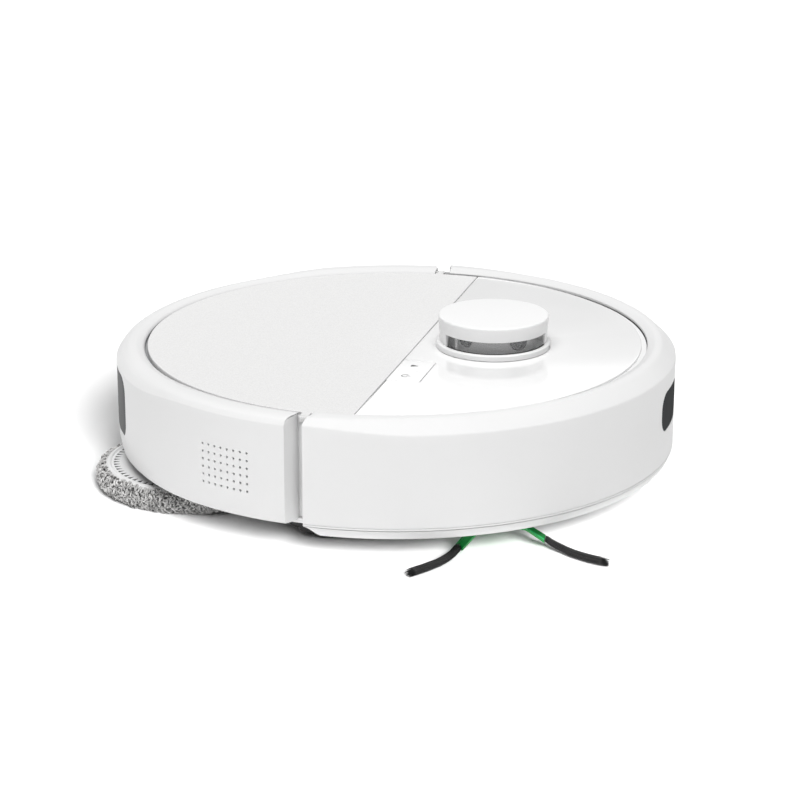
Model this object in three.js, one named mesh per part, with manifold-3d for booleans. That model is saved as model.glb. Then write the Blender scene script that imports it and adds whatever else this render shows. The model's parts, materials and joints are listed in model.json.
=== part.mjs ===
// Round robot vacuum and mop: every piece is its own mesh.
// Millimetres. +X is the front, +Y the robot's left, +Z up. The origin is the
// centre of the round body at floor level.
import * as THREE from 'three';
import { mergeVertices } from 'three/addons/utils/BufferGeometryUtils.js';
import Module from 'manifold-3d';

const wasm = await Module();
wasm.setup();

// ---- driving dimensions ----
const BODY_R = 175;          // outer wall of the bumper and of the rear shell
const WALL = 2.5;            // wall of the moulded shells
const GAP = 0.3;             // clearance between pieces that meet
const BUMPER_Z = 14.4;        // lower edge of the bumper
const SHELL_Z = 21;          // lower edge of the rear shell
const BASE_Z = 18.5;         // underside of the base plate
const BASE_T = 3;            // its thickness
const BASE_R = 165;
const DECK_Z = 83.6;         // top face of the lid and of the front deck
const DECK_T = 3.5;
const LID_R = 155.6;
const LID_LINE = 16.1;       // x of the straight joint between lid and deck
const FRAME_R = 160.5;       // chassis wall and mid frame
const FRAME_TOP = 79.8;
const FRAME_T = 4.3;
const BUMPER_TRAVEL = 3;      // how far the bumper can be pushed in
const SHELL_END = [-19.5, -14.5];   // x of the shell's end, at the wall and at the rim
const BUMPER_END = [-8.5, -4];      // x of the bumper's end, at the wall and at the rim
const END_BEND_R = 166.5;           // where the end turns from slanted to straight
const TURRET_X = 62.5;
const CAP_R = 34.3;           // rim of the turret's cap
const CAP_FOOT_R = 33.1;      // the cap where it meets the ring
const TURRET_RING_R = 35.6;
const CAP_TOP = 104.6;
const SLOT_Z = [87.6, 95.2];
const ROTOR_R = 27;
const WHEEL = { x: -7, y: 129.5, r: 36, width: 20, rim: 27 };
const PIVOT = { x: 38, z: 30 };     // suspension pivot of a drive wheel
const ROLLER = { x: 22, z: 21.5, r: 20, core: 11, half: 74.5, fins: 6 };
const CASTER = { x: 118, trail: 7, r: 13, width: 12 };
const SIDE_HUB = polar(150, -52.2);
const SIDE_ARM_DEG = -121.4;        // direction of the first arm
const SIDE_ARM_R = 30;
const BRISTLE_R = 67.5;
const BRISTLE_TRAIL = [-2.5, 17, 5];   // sideways trail of each bundle's tip
const MOP_R = 65;
const PLATE_R = 59.8;
const PAD_TOP = 12.9;
const MOP_HOME = [-88, 66.6];       // axis of a retracted mop, mirrored for the right one
const MOP_OUT = [-109, -64.2];      // axis of the right mop, swung out
const ARM_PIVOT = [-102.8, -103.15];  // pivot of the right mop's arm
const BIN = { x: [-131, -35], y: [-59, 3], z: [47, 79.2], wall: 2 };
const TANK = { x: [-131, -35], y: [8.5, 59], z: [47, 79.2] };
const HANDLE = { x: -83, z: 76.8, reach: 24, bar: 3, y: [-55, -1] };
const FAN = { x: -2, y: 40, r: 29, z: [51, 74.5] };
const BUTTONS = { x: [16.4, 36.65], power: [-84.45, -64.3], spot: [-63.9, -43.95], t: 2.4 };
const ROUND = 72;                   // facets of the large rings

// ---- shared helpers ----
function polar(radius, degrees) {
  const a = THREE.MathUtils.degToRad(degrees);
  return [radius * Math.cos(a), radius * Math.sin(a)];
}

// A closed three.js geometry as a solid that can be joined and cut.
function solid(geometry) {
  const bare = geometry.clone();
  bare.deleteAttribute('normal');
  bare.deleteAttribute('uv');
  const merged = mergeVertices(bare, 1e-4);
  const index = merged.index.array;
  const kept = [];
  for (let i = 0; i < index.length; i += 3) {
    const [a, b, c] = [index[i], index[i + 1], index[i + 2]];
    if (a !== b && b !== c && c !== a) kept.push(a, b, c);
  }
  const mesh = new wasm.Mesh({
    numProp: 3,
    vertProperties: new Float32Array(merged.attributes.position.array),
    triVerts: new Uint32Array(kept),
  });
  return new wasm.Manifold(mesh);
}

function geometryOf(body) {
  const mesh = body.getMesh();
  const geometry = new THREE.BufferGeometry();
  geometry.setAttribute('position', new THREE.BufferAttribute(mesh.vertProperties, 3));
  geometry.setIndex(new THREE.BufferAttribute(mesh.triVerts, 1));
  return geometry;
}

const cut = (first, ...others) =>
  geometryOf(others.reduce((body, other) => body.subtract(solid(other)), solid(first)));
const join = (first, ...others) =>
  geometryOf(others.reduce((body, other) => body.add(solid(other)), solid(first)));
const common = (first, other) => geometryOf(solid(first).intersect(solid(other)));

// A section of [radius, height] points, outer side upwards, turned about +Z.
function turned(section, segments = 48) {
  const points = section.map(([r, z]) => new THREE.Vector2(r, z));
  return new THREE.LatheGeometry(points, segments).rotateX(Math.PI / 2);
}

// A ring section closes on itself; a full body starts and ends on the axis.
const ring = (section, segments) => turned([...section, section[0]], segments);

function tube(inner, outer, z0, z1, segments = 48) {
  return ring([[inner, z0], [outer, z0], [outer, z1], [inner, z1]], segments);
}

function drum(radius, z0, z1, segments = 32) {
  return turned([[0, z0], [radius, z0], [radius, z1], [0, z1]], segments);
}

// A drum along +Y between y0 and y1, centred on x and z.
function crossDrum(radius, x, z, y0, y1, segments = 32) {
  return drum(radius, y0, y1, segments).rotateX(-Math.PI / 2).translate(x, 0, z);
}

function block([x0, x1], [y0, y1], [z0, z1]) {
  return new THREE.BoxGeometry(x1 - x0, y1 - y0, z1 - z0)
    .translate((x0 + x1) / 2, (y0 + y1) / 2, (z0 + z1) / 2);
}

function plate(shape, z0, z1, curveSegments = 24) {
  return new THREE.ExtrudeGeometry(shape, { depth: z1 - z0, bevelEnabled: false, curveSegments })
    .translate(0, 0, z0);
}

function polygon(points) {
  return new THREE.Shape(points.map(([x, y]) => new THREE.Vector2(x, y)));
}

// Two circles joined by their outer tangents.
function linkShape([ax, ay], ra, [bx, by], rb) {
  const heading = Math.atan2(by - ay, bx - ax);
  const lean = Math.acos((ra - rb) / Math.hypot(bx - ax, by - ay));
  const shape = new THREE.Shape();
  shape.absarc(ax, ay, ra, heading + lean, heading - lean + 2 * Math.PI, false);
  shape.absarc(bx, by, rb, heading - lean, heading + lean, false);
  return shape;
}

function roundedRect(x0, x1, y0, y1, r) {
  const shape = new THREE.Shape();
  shape.absarc(x1 - r, y1 - r, r, 0, Math.PI / 2, false);
  shape.absarc(x0 + r, y1 - r, r, Math.PI / 2, Math.PI, false);
  shape.absarc(x0 + r, y0 + r, r, Math.PI, 1.5 * Math.PI, false);
  shape.absarc(x1 - r, y0 + r, r, 1.5 * Math.PI, 2 * Math.PI, false);
  return shape;
}

// A shape drawn in (y, z) and pushed along +X from x0 to x1.
function alongX(shape, x0, x1, curveSegments = 8) {
  return new THREE.ExtrudeGeometry(shape, { depth: x1 - x0, bevelEnabled: false, curveSegments })
    .rotateX(Math.PI / 2).rotateZ(Math.PI / 2).translate(x0, 0, 0);
}

// ---- materials ----
const finish = (color, roughness, metalness = 0) => ({ color, roughness, metalness });
const WHITE = finish(0xf1f1ef, 0.35);
const DECK_WHITE = finish(0xf4f4f3, 0.12);
const LID_GREY = finish(0xdcdcdb, 0.6);
const DARK = finish(0x2b2c2e, 0.45);
const INNER = finish(0x8b8e92, 0.6);
const SMOKE = finish(0x55585b, 0.1);
const RUBBER = finish(0x242424, 0.85);
const GREEN = finish(0x178a3c, 0.4);
const METAL = finish(0xb9bcc0, 0.3, 1);
const FIBRE = finish(0xa4a4a3, 0.95);

const model = new THREE.Group();
function add(name, geometry, look) {
  const mesh = new THREE.Mesh(geometry, new THREE.MeshStandardMaterial(look));
  mesh.name = name;
  model.add(mesh);
  return mesh;
}

// ---- outer shells ----
// Plan of the half in front of (or behind) the slanted end faces.
function endPlan([outer, inner], farX) {
  const side = (s) => [[inner, s * END_BEND_R], [outer, s * (BODY_R - 0.5)], [outer, s * 200]];
  const points = [...side(-1).reverse(), ...side(1), [farX, 200], [farX, -200]];
  return polygon(farX > 0 ? points.reverse() : points);
}

function bumperShell() {
  const section = [
    [BODY_R - 1, BUMPER_Z + 6.7], [BODY_R, BUMPER_Z + 9.7], [BODY_R, 78.4], [166.3, 86.4],
    [162.3, 86.8], [157, 84.2], [157.4, 82.4], [162.8, 84.4], [165.2, 84],
    [BODY_R - WALL, 77.3], [BODY_R - WALL, BUMPER_Z + 6.7],
  ];
  const front = common(ring(section, ROUND), plate(endPlan(BUMPER_END, 200), 0, 100));
  return cut(front, alongX(windowPill(GAP), 150, 180));
}

function bumperTrim() {
  const section = [
    [171.2, BUMPER_Z], [173.4, BUMPER_Z + 3.3], [174.2, BUMPER_Z + 6.4],
    [171.8, BUMPER_Z + 6.4], [171, BUMPER_Z + 3.6], [169.6, BUMPER_Z + 0.8],
  ];
  return common(ring(section, ROUND), block([-4, 200], [-200, 200], [0, 100]));
}

function windowPill(grow) {
  return roundedRect(-23.8 - grow, 23.8 + grow, 42.6 - grow, 67 + grow, 10 + grow);
}

function frontWindow() {
  return common(alongX(windowPill(0), 150, 180), tube(172.6, 174.6, 30, 80, ROUND));
}

function rearShell() {
  const section = [
    [172.9, SHELL_Z], [174.6, 30], [BODY_R, 40], [BODY_R, 76.5], [171.5, 81.8], [167, 84.6],
    [162.5, 85.1], [157.2, 83.4], [157.4, 81.6], [162, 83], [166, 82.5], [170, 79.6],
    [BODY_R - WALL, 75.8], [BODY_R - WALL, 40], [172, 30], [170.4, SHELL_Z],
  ];
  const rear = common(ring(section, ROUND), plate(endPlan(SHELL_END, -200), 0, 100));
  return cut(rear, alongX(rearPanelOutline(GAP), -180, -130));
}

function rearPanelOutline(grow) {
  return roundedRect(-98 - grow, 98 + grow, 35.8 - grow, 74 + grow, 10 + grow);
}

function rearWindow() {
  return common(alongX(rearPanelOutline(0), -180, -130), tube(172.6, 174.9, 25, 80, ROUND));
}

function lidPanel() {
  const angle = Math.acos((LID_LINE - GAP) / LID_R);
  const shape = new THREE.Shape();
  shape.absarc(0, 0, LID_R, angle, 2 * Math.PI - angle, false);
  const [z0, z1] = [DECK_Z - DECK_T, DECK_Z];
  const tab = (s) => block([-13.9, -8.6], [s * 163.5, s * 150].sort((a, b) => a - b), [z0, z1]);
  return join(plate(shape, z0, z1, 36), tab(1), tab(-1));
}

function topDeck() {
  const shift = BUMPER_TRAVEL - 0.8;      // keeps the front edge clear of the pushed bumper
  const angle = Math.acos((LID_LINE + GAP + shift) / LID_R);
  const shape = new THREE.Shape();
  shape.absarc(-shift, 0, LID_R, -angle, angle, false);
  const keyNotch = block([10, 37], [-84.8, -43.6], [70, 90]);
  const bore = drum(9, 70, 90, 24).translate(TURRET_X, 0, 0);
  return cut(plate(shape, DECK_Z - DECK_T, DECK_Z, 30), keyNotch, bore);
}

// ---- chassis ----
function basePlate() {
  const cuts = [
    block([ROLLER.x - 23, ROLLER.x + 23], [-80, 80], [10, 30]),
    block([-48, 50], [93, 143], [10, 30]),
    block([-48, 50], [-143, -93], [10, 30]),
    drum(21, 10, 30, 40).translate(CASTER.x, 0, 0),
    drum(4, 10, 30, 20).translate(...SIDE_HUB, 0),
    drum(6.5, 10, 30, 24).translate(...MOP_HOME, 0),
    plate(linkShape([MOP_HOME[0], -MOP_HOME[1]], 8, MOP_OUT, 8.1), 10, 30, 8),
  ];
  return cut(drum(BASE_R, BASE_Z, BASE_Z + BASE_T, 60), ...cuts);
}

function midFrame() {
  const bay = ({ x, y }) => block([x[0] - 0.6, x[1] + 0.6], [y[0] - 0.6, y[1] + 0.6], [60, 90]);
  const bore = drum(9, 60, 90, 24).translate(TURRET_X, 0, 0);
  const disc = drum(FRAME_R, FRAME_TOP - FRAME_T, FRAME_TOP, 60);
  return cut(disc, bay(BIN), bay(TANK), bore);
}

function brushTunnel() {
  const top = block([ROLLER.x - 30, ROLLER.x + 30], [-86, 86], [BASE_Z + BASE_T + GAP, 47]);
  return cut(top, crossDrum(22.5, ROLLER.x, ROLLER.z, -80, 80));
}

function brushCage() {
  const outer = block([ROLLER.x - 30, ROLLER.x + 30], [-86, 86], [13.5, BASE_Z - GAP]);
  return cut(outer, block([ROLLER.x - 22, ROLLER.x + 22], [-80, 80], [10, 30]));
}

function fanHousing() {
  const [z0, z1] = FAN.z;
  const cup = turned([
    [0, z0], [FAN.r, z0], [FAN.r, z1], [FAN.r - 2.5, z1], [FAN.r - 2.5, z0 + 2], [0, z0 + 2],
  ], 40);
  return cup.translate(FAN.x, FAN.y, 0);
}

function fanImpeller() {
  const z0 = FAN.z[0] + 2.5;
  const blades = [];
  for (let k = 0; k < 9; k += 1) {
    const blade = block([5, 23.5], [-0.7, 0.7], [z0 + 1, z0 + 15]);
    blades.push(blade.rotateZ(k * 2 * Math.PI / 9));
  }
  const hub = join(drum(8, z0, z0 + 17, 20), drum(24, z0, z0 + 2, 36), ...blades);
  return hub.translate(FAN.x, FAN.y, 0);
}

function dustBin() {
  const inside = ([a, b]) => [a + BIN.wall, b - BIN.wall];
  return cut(block(BIN.x, BIN.y, BIN.z), block(inside(BIN.x), inside(BIN.y), [BIN.z[0] + 2, 90]));
}

function binHandle() {
  const { x, z, reach, bar, y } = HANDLE;
  const span = [z - bar / 2, z + bar / 2];
  return join(
    block([x - bar, x + reach], [y[0], y[0] + bar], span),
    block([x - bar, x + reach], [y[1] - bar, y[1]], span),
    block([x + reach - bar, x + reach], y, span),
  );
}

// ---- laser turret ----
function turretCover() {
  const section = [
    [0, CAP_TOP - 2.8], [31.9, CAP_TOP - 3.2], [31.9, DECK_Z + GAP], [TURRET_RING_R, DECK_Z + GAP],
    [TURRET_RING_R, 87], [TURRET_RING_R - 0.5, 87.4], [CAP_FOOT_R, 87.5], [CAP_R, 103.2],
    [CAP_R - 1, 104.2], [0, CAP_TOP],
  ];
  const slot = (from, to) => {
    const wedge = new THREE.Shape();
    wedge.moveTo(0, 0);
    const [a, b] = [from, to].map(THREE.MathUtils.degToRad);
    wedge.absarc(0, 0, 45, a, b, false);
    return plate(wedge, ...SLOT_Z, 12);
  };
  return cut(turned(section, 48), slot(6, 134), slot(-134, -6)).translate(TURRET_X, 0, 0);
}

function lidarRotor() {
  return join(drum(ROTOR_R, 85, 100.5, 40), drum(6, 76, 85.5, 20)).translate(TURRET_X, 0, 0);
}

function lens(degrees, radius) {
  const disc = drum(radius, ROTOR_R + 0.3, ROTOR_R + 1.6, 24).rotateY(Math.PI / 2);
  return disc.rotateZ(THREE.MathUtils.degToRad(degrees)).translate(TURRET_X, 0, 93.6);
}

// ---- running gear ----
function wheelParts(side, s) {
  const y0 = WHEEL.y - WHEEL.width / 2;
  const y1 = WHEEL.y + WHEEL.width / 2;
  const span = (a, b) => (s > 0 ? [a, b] : [-b, -a]);
  const tyreRing = tube(WHEEL.rim, WHEEL.r, ...span(y0, y1), 48)
    .rotateX(-Math.PI / 2).translate(WHEEL.x, 0, WHEEL.r);
  add(`tyre_${side}`, tyreRing, RUBBER);
  const hub = crossDrum(WHEEL.rim - GAP, WHEEL.x, WHEEL.r, ...span(y0 + 1, y1 - 1), 40);
  add(`wheel_hub_${side}`, hub, DARK);
  const outline = linkShape([WHEEL.x, WHEEL.r], 14, [PIVOT.x, PIVOT.z], 9);
  const [a, b] = span(108.3, 118.6);
  const arm = new THREE.ExtrudeGeometry(outline, { depth: b - a, bevelEnabled: false, curveSegments: 12 })
    .rotateX(Math.PI / 2).translate(0, b, 0);
  add(`wheel_arm_${side}`, arm, INNER);
  const motor = crossDrum(16, WHEEL.x, WHEEL.r, ...span(94, 108), 28);
  add(`wheel_motor_${side}`, motor, METAL);
}

// A roller with fins that sweep round as they near the middle.
function brushRoller() {
  const shape = new THREE.Shape();
  const halfFin = 0.1;
  for (let k = 0; k < ROLLER.fins; k += 1) {
    const mid = k * 2 * Math.PI / ROLLER.fins;
    const next = mid + 2 * Math.PI / ROLLER.fins;
    const foot = 2 * halfFin;
    const at = (r, a) => [r * Math.cos(a), r * Math.sin(a)];
    if (k === 0) shape.moveTo(...at(ROLLER.core, mid - foot));
    shape.lineTo(...at(ROLLER.r, mid - halfFin / 1.6));
    shape.lineTo(...at(ROLLER.r, mid + halfFin / 1.6));
    shape.lineTo(...at(ROLLER.core, mid + foot));
    shape.lineTo(...at(ROLLER.core, (mid + next) / 2));
    if (k < ROLLER.fins - 1) shape.lineTo(...at(ROLLER.core, next - foot));
  }
  const steps = 12;
  const bar = new THREE.ExtrudeGeometry(shape, { depth: 2 * ROLLER.half, bevelEnabled: false, steps })
    .translate(0, 0, -ROLLER.half);
  const position = bar.attributes.position;
  const sweep = 0.9;      // radians from the end to the middle
  for (let i = 0; i < position.count; i += 1) {
    const turn = sweep * (1 - Math.abs(position.getZ(i)) / ROLLER.half);
    const [x, y] = [position.getX(i), position.getY(i)];
    position.setX(i, x * Math.cos(turn) - y * Math.sin(turn));
    position.setY(i, x * Math.sin(turn) + y * Math.cos(turn));
  }
  const caps = [drum(13, -78, -ROLLER.half + 1, 24), drum(13, ROLLER.half - 1, 78, 24)];
  return join(bar, ...caps).rotateX(-Math.PI / 2).translate(ROLLER.x, 0, ROLLER.z);
}

function casterFork() {
  const wheelX = CASTER.x - CASTER.trail;
  const head = drum(20.4, 17, 29, 40).translate(CASTER.x, 0, 0);
  const cheek = (s) => block([wheelX - 6, wheelX + 8], [s * 7, s * 10.5].sort((a, b) => a - b), [9, 18]);
  const slot = block([wheelX - 14.2, wheelX + 14.2], [-6.8, 6.8], [5, 26.8]);
  const bore = crossDrum(2.3, wheelX, CASTER.r, -12, 12, 16);
  return cut(join(head, cheek(1), cheek(-1)), slot, bore);
}

function casterWheel() {
  const half = CASTER.width / 2;
  const section = [
    [2.4, -half], [CASTER.r - 2, -half], [CASTER.r, -half + 3], [CASTER.r, half - 3],
    [CASTER.r - 2, half], [2.4, half],
  ];
  return ring(section, 36).rotateX(-Math.PI / 2)
    .translate(CASTER.x - CASTER.trail, 0, CASTER.r);
}

// ---- side brush ----
function sideBrushArms() {
  const hub = join(drum(11, 10.5, 17.4, 28), drum(3, 17, 26, 16));
  const profile = polygon([[5, 11.3], [19.5, 10.5], [SIDE_ARM_R, 3.6], [SIDE_ARM_R, 8], [21, 13], [5, 16]]);
  const arms = [0, 1, 2].map((k) => {
    const arm = new THREE.ExtrudeGeometry(profile, { depth: 7, bevelEnabled: false })
      .translate(0, 0, -3.5).rotateX(Math.PI / 2);
    return arm.rotateZ(THREE.MathUtils.degToRad(SIDE_ARM_DEG + 120 * k));
  });
  return join(hub, ...arms).translate(...SIDE_HUB, 0);
}

// A bundle drops from the arm's end, lies along the floor and trails sideways.
function bristles(k) {
  const trail = BRISTLE_TRAIL[k];
  const path = new THREE.CatmullRomCurve3([
    new THREE.Vector3(SIDE_ARM_R + 4 * GAP, 0, 5.9), new THREE.Vector3(38, -trail * 0.18, 3.8),
    new THREE.Vector3(50, -trail * 0.62, 2.8), new THREE.Vector3(BRISTLE_R, -trail, 2.7),
  ]);
  const section = new THREE.Shape();
  section.absarc(0, 0, 2.4, 0, 2 * Math.PI, false);
  const tuft = new THREE.ExtrudeGeometry(section, {
    extrudePath: path, steps: 8, bevelEnabled: false, curveSegments: 4,
  });
  return tuft.rotateZ(THREE.MathUtils.degToRad(SIDE_ARM_DEG + 120 * k)).translate(...SIDE_HUB, 0);
}

// ---- mops ----
function mopPlate([x, y]) {
  const section = [
    [0, PAD_TOP + GAP], [PLATE_R, PAD_TOP + GAP], [PLATE_R, 13.8], [PLATE_R - 2.6, 15.6],
    [5, 15.6], [5, 23.6], [0, 23.6],
  ];
  return turned(section, 36).translate(x, y, 0);
}

function mopPad([x, y]) {
  const section = [
    [0, 0], [60.5, 0], [64, 2.5], [MOP_R, 7], [64, 11.2], [61.5, PAD_TOP], [0, PAD_TOP],
  ];
  return turned(section, 36).translate(x, y, 0);
}

// ---- underside fittings ----
function cliffSensor(degrees) {
  const piece = block([142, 151], [-10, 10], [16.6, BASE_Z - GAP]);
  return piece.rotateZ(THREE.MathUtils.degToRad(degrees));
}

// ---- assembly ----
const baseTop = BASE_Z + BASE_T;
add('base_plate', basePlate(), WHITE);
add('chassis_wall', tube(158, FRAME_R, baseTop + GAP, FRAME_TOP - FRAME_T - GAP, ROUND), WHITE);
add('mid_frame', midFrame(), INNER);
add('top_deck', topDeck(), DECK_WHITE);
add('rear_shell', rearShell(), WHITE);
add('rear_window', rearWindow(), SMOKE);
add('turret_cover', turretCover(), WHITE);
const pane = tube(30.4, 31.5, DECK_Z + 2 * GAP, 98, 48).translate(TURRET_X, 0, 0);
add('turret_window', pane, SMOKE);
add('lidar_base', drum(33, 51, 75.2, 36).translate(TURRET_X, 0, 0), INNER);
add('battery_pack', block([56, 94], [-48, 48], [baseTop + GAP, 43]), DARK);
add('main_board', block([56, 128], [-55, 55], [47, 48.6]), GREEN);
const box = block([162.4, 170.5], [-16, 16], [35, 61]);
add('speaker', box.rotateZ(THREE.MathUtils.degToRad(-109.7)), DARK);
add('fan_housing', fanHousing(), INNER);
add('fan_impeller', fanImpeller(), DARK);
add('water_tank', block(TANK.x, TANK.y, TANK.z), SMOKE);
add('brush_tunnel', brushTunnel(), DARK);
add('brush_cage', brushCage(), DARK);
add('brush_motor', block([13, 36], [88, 105], [24, 47]), METAL);
add('side_brush_motor', drum(7.8, 26.3, 50, 24).translate(...SIDE_HUB, 0), METAL);
add('mop_motor_left', drum(15, 24, 45, 28).translate(...MOP_HOME, 0), METAL);
add('cliff_sensor_front', cliffSensor(0), DARK);
add('cliff_sensor_left', cliffSensor(34), DARK);
add('cliff_sensor_right', cliffSensor(-26), DARK);
add('charge_contact_left', block([128, 142], [26, 34], [17.2, BASE_Z - GAP]), METAL);
add('charge_contact_right', block([128, 142], [-34, -26], [17.2, BASE_Z - GAP]), METAL);

add('bumper_shell', bumperShell(), WHITE);
add('bumper_trim', bumperTrim(), WHITE);
add('front_window', frontWindow(), SMOKE);

add('lid_panel', lidPanel(), LID_GREY);
add('dust_bin', dustBin(), SMOKE);
add('bin_filter', block([-42, -38], [-55, -1], [50, 72]), FIBRE);
add('bin_handle', binHandle(), WHITE);
for (const name of ['power', 'spot']) {
  add(`button_${name}`, block(BUTTONS.x, BUTTONS[name], [DECK_Z - BUTTONS.t, DECK_Z]), DECK_WHITE);
}

add('lidar_rotor', lidarRotor(), WHITE);
add('lidar_lens_emitter', lens(-114.6, 4.6), SMOKE);
add('lidar_lens_receiver', lens(-43, 6.2), SMOKE);

wheelParts('left', 1);
wheelParts('right', -1);
add('caster_fork', casterFork(), DARK);
add('caster_axle', crossDrum(2, CASTER.x - CASTER.trail, CASTER.r, -10.2, 10.2, 16), METAL);
add('caster_wheel', casterWheel(), RUBBER);
add('brush_roller', brushRoller(), GREEN);

add('side_brush_arms', sideBrushArms(), GREEN);
for (let k = 0; k < 3; k += 1) add(`side_bristles_${k + 1}`, bristles(k), RUBBER);

const armShape = linkShape(ARM_PIVOT, 10, MOP_OUT, 15);
add('mop_arm', plate(armShape, 24, 29.5, 12), INNER);
add('mop_motor_right', drum(14.5, 29.8, 45, 28).translate(...MOP_OUT, 0), METAL);
add('mop_plate_left', mopPlate(MOP_HOME), WHITE);
add('mop_pad_left', mopPad(MOP_HOME), FIBRE);
add('mop_plate_right', mopPlate(MOP_OUT), WHITE);
add('mop_pad_right', mopPad(MOP_OUT), FIBRE);

export default model;
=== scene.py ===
# Round robot vacuum and mop. Shapes are worked out in millimetres and stored in metres.
# +X is the front, +Y the robot's left, +Z up, and the floor is z = 0.
import json

import bmesh
import bpy
import numpy as np
from mathutils import Matrix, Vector
from mathutils.geometry import tessellate_polygon

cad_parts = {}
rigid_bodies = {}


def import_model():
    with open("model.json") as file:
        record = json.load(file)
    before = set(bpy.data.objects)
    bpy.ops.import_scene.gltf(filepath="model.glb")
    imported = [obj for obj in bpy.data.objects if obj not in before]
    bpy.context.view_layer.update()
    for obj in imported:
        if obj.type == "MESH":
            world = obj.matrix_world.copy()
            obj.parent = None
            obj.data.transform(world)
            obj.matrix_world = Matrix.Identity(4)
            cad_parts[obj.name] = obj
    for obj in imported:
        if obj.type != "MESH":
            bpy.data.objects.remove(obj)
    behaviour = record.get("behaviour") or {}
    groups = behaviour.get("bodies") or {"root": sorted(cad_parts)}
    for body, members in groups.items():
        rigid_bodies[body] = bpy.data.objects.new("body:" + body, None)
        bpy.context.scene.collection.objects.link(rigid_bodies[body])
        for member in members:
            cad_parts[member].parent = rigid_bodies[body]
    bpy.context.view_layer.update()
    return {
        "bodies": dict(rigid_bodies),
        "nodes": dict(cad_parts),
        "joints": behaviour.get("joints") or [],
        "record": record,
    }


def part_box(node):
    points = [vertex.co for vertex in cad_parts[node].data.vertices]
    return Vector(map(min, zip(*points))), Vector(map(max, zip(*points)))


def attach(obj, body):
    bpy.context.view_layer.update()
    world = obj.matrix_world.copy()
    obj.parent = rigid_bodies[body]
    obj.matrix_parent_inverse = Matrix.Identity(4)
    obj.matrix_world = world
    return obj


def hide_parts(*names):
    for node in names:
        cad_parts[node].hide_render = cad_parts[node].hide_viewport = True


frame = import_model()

MM = 0.001
BODY_R = 175.0
DECK_Z = 83.6
LID_R = 155.6
LID_LINE = 16.1
SPLIT_BEND_R = 166.5
CAP_R = 34.3
CAP_FOOT_R = 33.1
TURRET_RING_R = 35.6
ROTOR_R = 27.0
DRUM_R = 160.5
TREAD_DEPTH = 1.6
TREAD_STEPS = 396
CAMERA_LENS = 114.07
CAMERA_TURN = (15.076, 18.054)
CAMERA_AT = (0.38944, -1.45340, 0.53666)


def centre(node):
    """Middle of a node's box in millimetres."""
    low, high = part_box(node)
    return (np.array(low) + np.array(high)) / 2 / MM


def spans(node):
    """Lowest and highest x, y and z of a node, in millimetres."""
    low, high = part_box(node)
    return [(low[k] / MM, high[k] / MM) for k in range(3)]


# ---------------------------------------------------------------- camera and light
def aim(azimuth, pitch):
    """Rotation whose -Z looks along an azimuth (0 is +Y, 90 is -X) and down by a pitch."""
    a, p = np.radians([azimuth, pitch])
    ahead = np.array([-np.sin(a) * np.cos(p), np.cos(a) * np.cos(p), -np.sin(p)])
    right = np.array([np.cos(a), np.sin(a), 0.0])
    return Matrix(np.stack([right, np.cross(right, ahead), -ahead], 1).tolist())


def make_camera():
    """One camera with a long lens, from 1.6 m away and a little above."""
    lens = bpy.data.cameras.new("studio_camera")
    lens.sensor_width, lens.lens = 36.0, CAMERA_LENS
    lens.clip_start, lens.clip_end = 0.05, 100.0
    holder = bpy.data.objects.new("studio_camera", lens)
    bpy.context.scene.collection.objects.link(holder)
    place = aim(*CAMERA_TURN).to_4x4()
    place.translation = CAMERA_AT
    holder.matrix_world = place
    bpy.context.scene.camera = holder


def softbox(name, azimuth, elevation, distance, width, height, power):
    """A rectangular light at a distance from the body, facing its middle."""
    lamp = bpy.data.lights.new(name, "AREA")
    lamp.shape, lamp.size, lamp.size_y, lamp.energy = "RECTANGLE", width, height, power
    holder = bpy.data.objects.new(name, lamp)
    bpy.context.scene.collection.objects.link(holder)
    place = aim(azimuth, elevation).to_4x4()
    place.translation = place.col[2].xyz * distance
    holder.matrix_world = place


def soft_sun(name, azimuth, elevation, strength, width, group):
    """Even light from one side, spread over `width` degrees of the sky, on one group."""
    lamp = bpy.data.lights.new(name, "SUN")
    lamp.energy, lamp.angle = strength, np.radians(width)
    holder = bpy.data.objects.new(name, lamp)
    bpy.context.scene.collection.objects.link(holder)
    holder.matrix_world = aim(azimuth, elevation).to_4x4()
    holder.light_linking.receiver_collection = group


def lit_group(name, floor, state):
    """What a lamp lights: the floor alone (INCLUDE) or everything but the floor (EXCLUDE)."""
    group = bpy.data.collections.new(name)
    group.objects.link(floor)
    group.collection_objects[0].light_linking.link_state = state
    return group


def make_studio(floor):
    """The robot and the floor have their own lamps, so that the floor stays white close to the
    body while the walls keep their shading."""
    world = bpy.data.worlds.new("white_studio")
    bpy.context.scene.world = world
    world.use_nodes = True
    sky = world.node_tree.nodes["Background"]
    sky.inputs["Color"].default_value = (1.0, 1.0, 1.0, 1.0)
    sky.inputs["Strength"].default_value = 0.18
    robot, ground = lit_group("robot_lit", floor, "EXCLUDE"), lit_group("floor_lit", floor,
                                                                        "INCLUDE")
    soft_sun("right_sun", 40, 76, 1.6, 34, robot)
    soft_sun("left_sun", -8, 66, 1.9, 34, robot)
    soft_sun("floor_front", 34, 30, 7.1, 22, ground)
    soft_sun("floor_top", 15, 75, 1.25, 40, ground)
    softbox("back_panel", 195, 27, 2.63, 3.0, 0.7, 6)
    bpy.context.scene.view_settings.view_transform = "Standard"


# ---------------------------------------------------------------- outlines and sections
def smooth(value, start, end):
    """0 before start, 1 after end, and 3t^2 - 2t^3 between."""
    t = np.clip((np.asarray(value, float) - start) / (end - start), 0, 1)
    return t * t * (3 - 2 * t)


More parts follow.
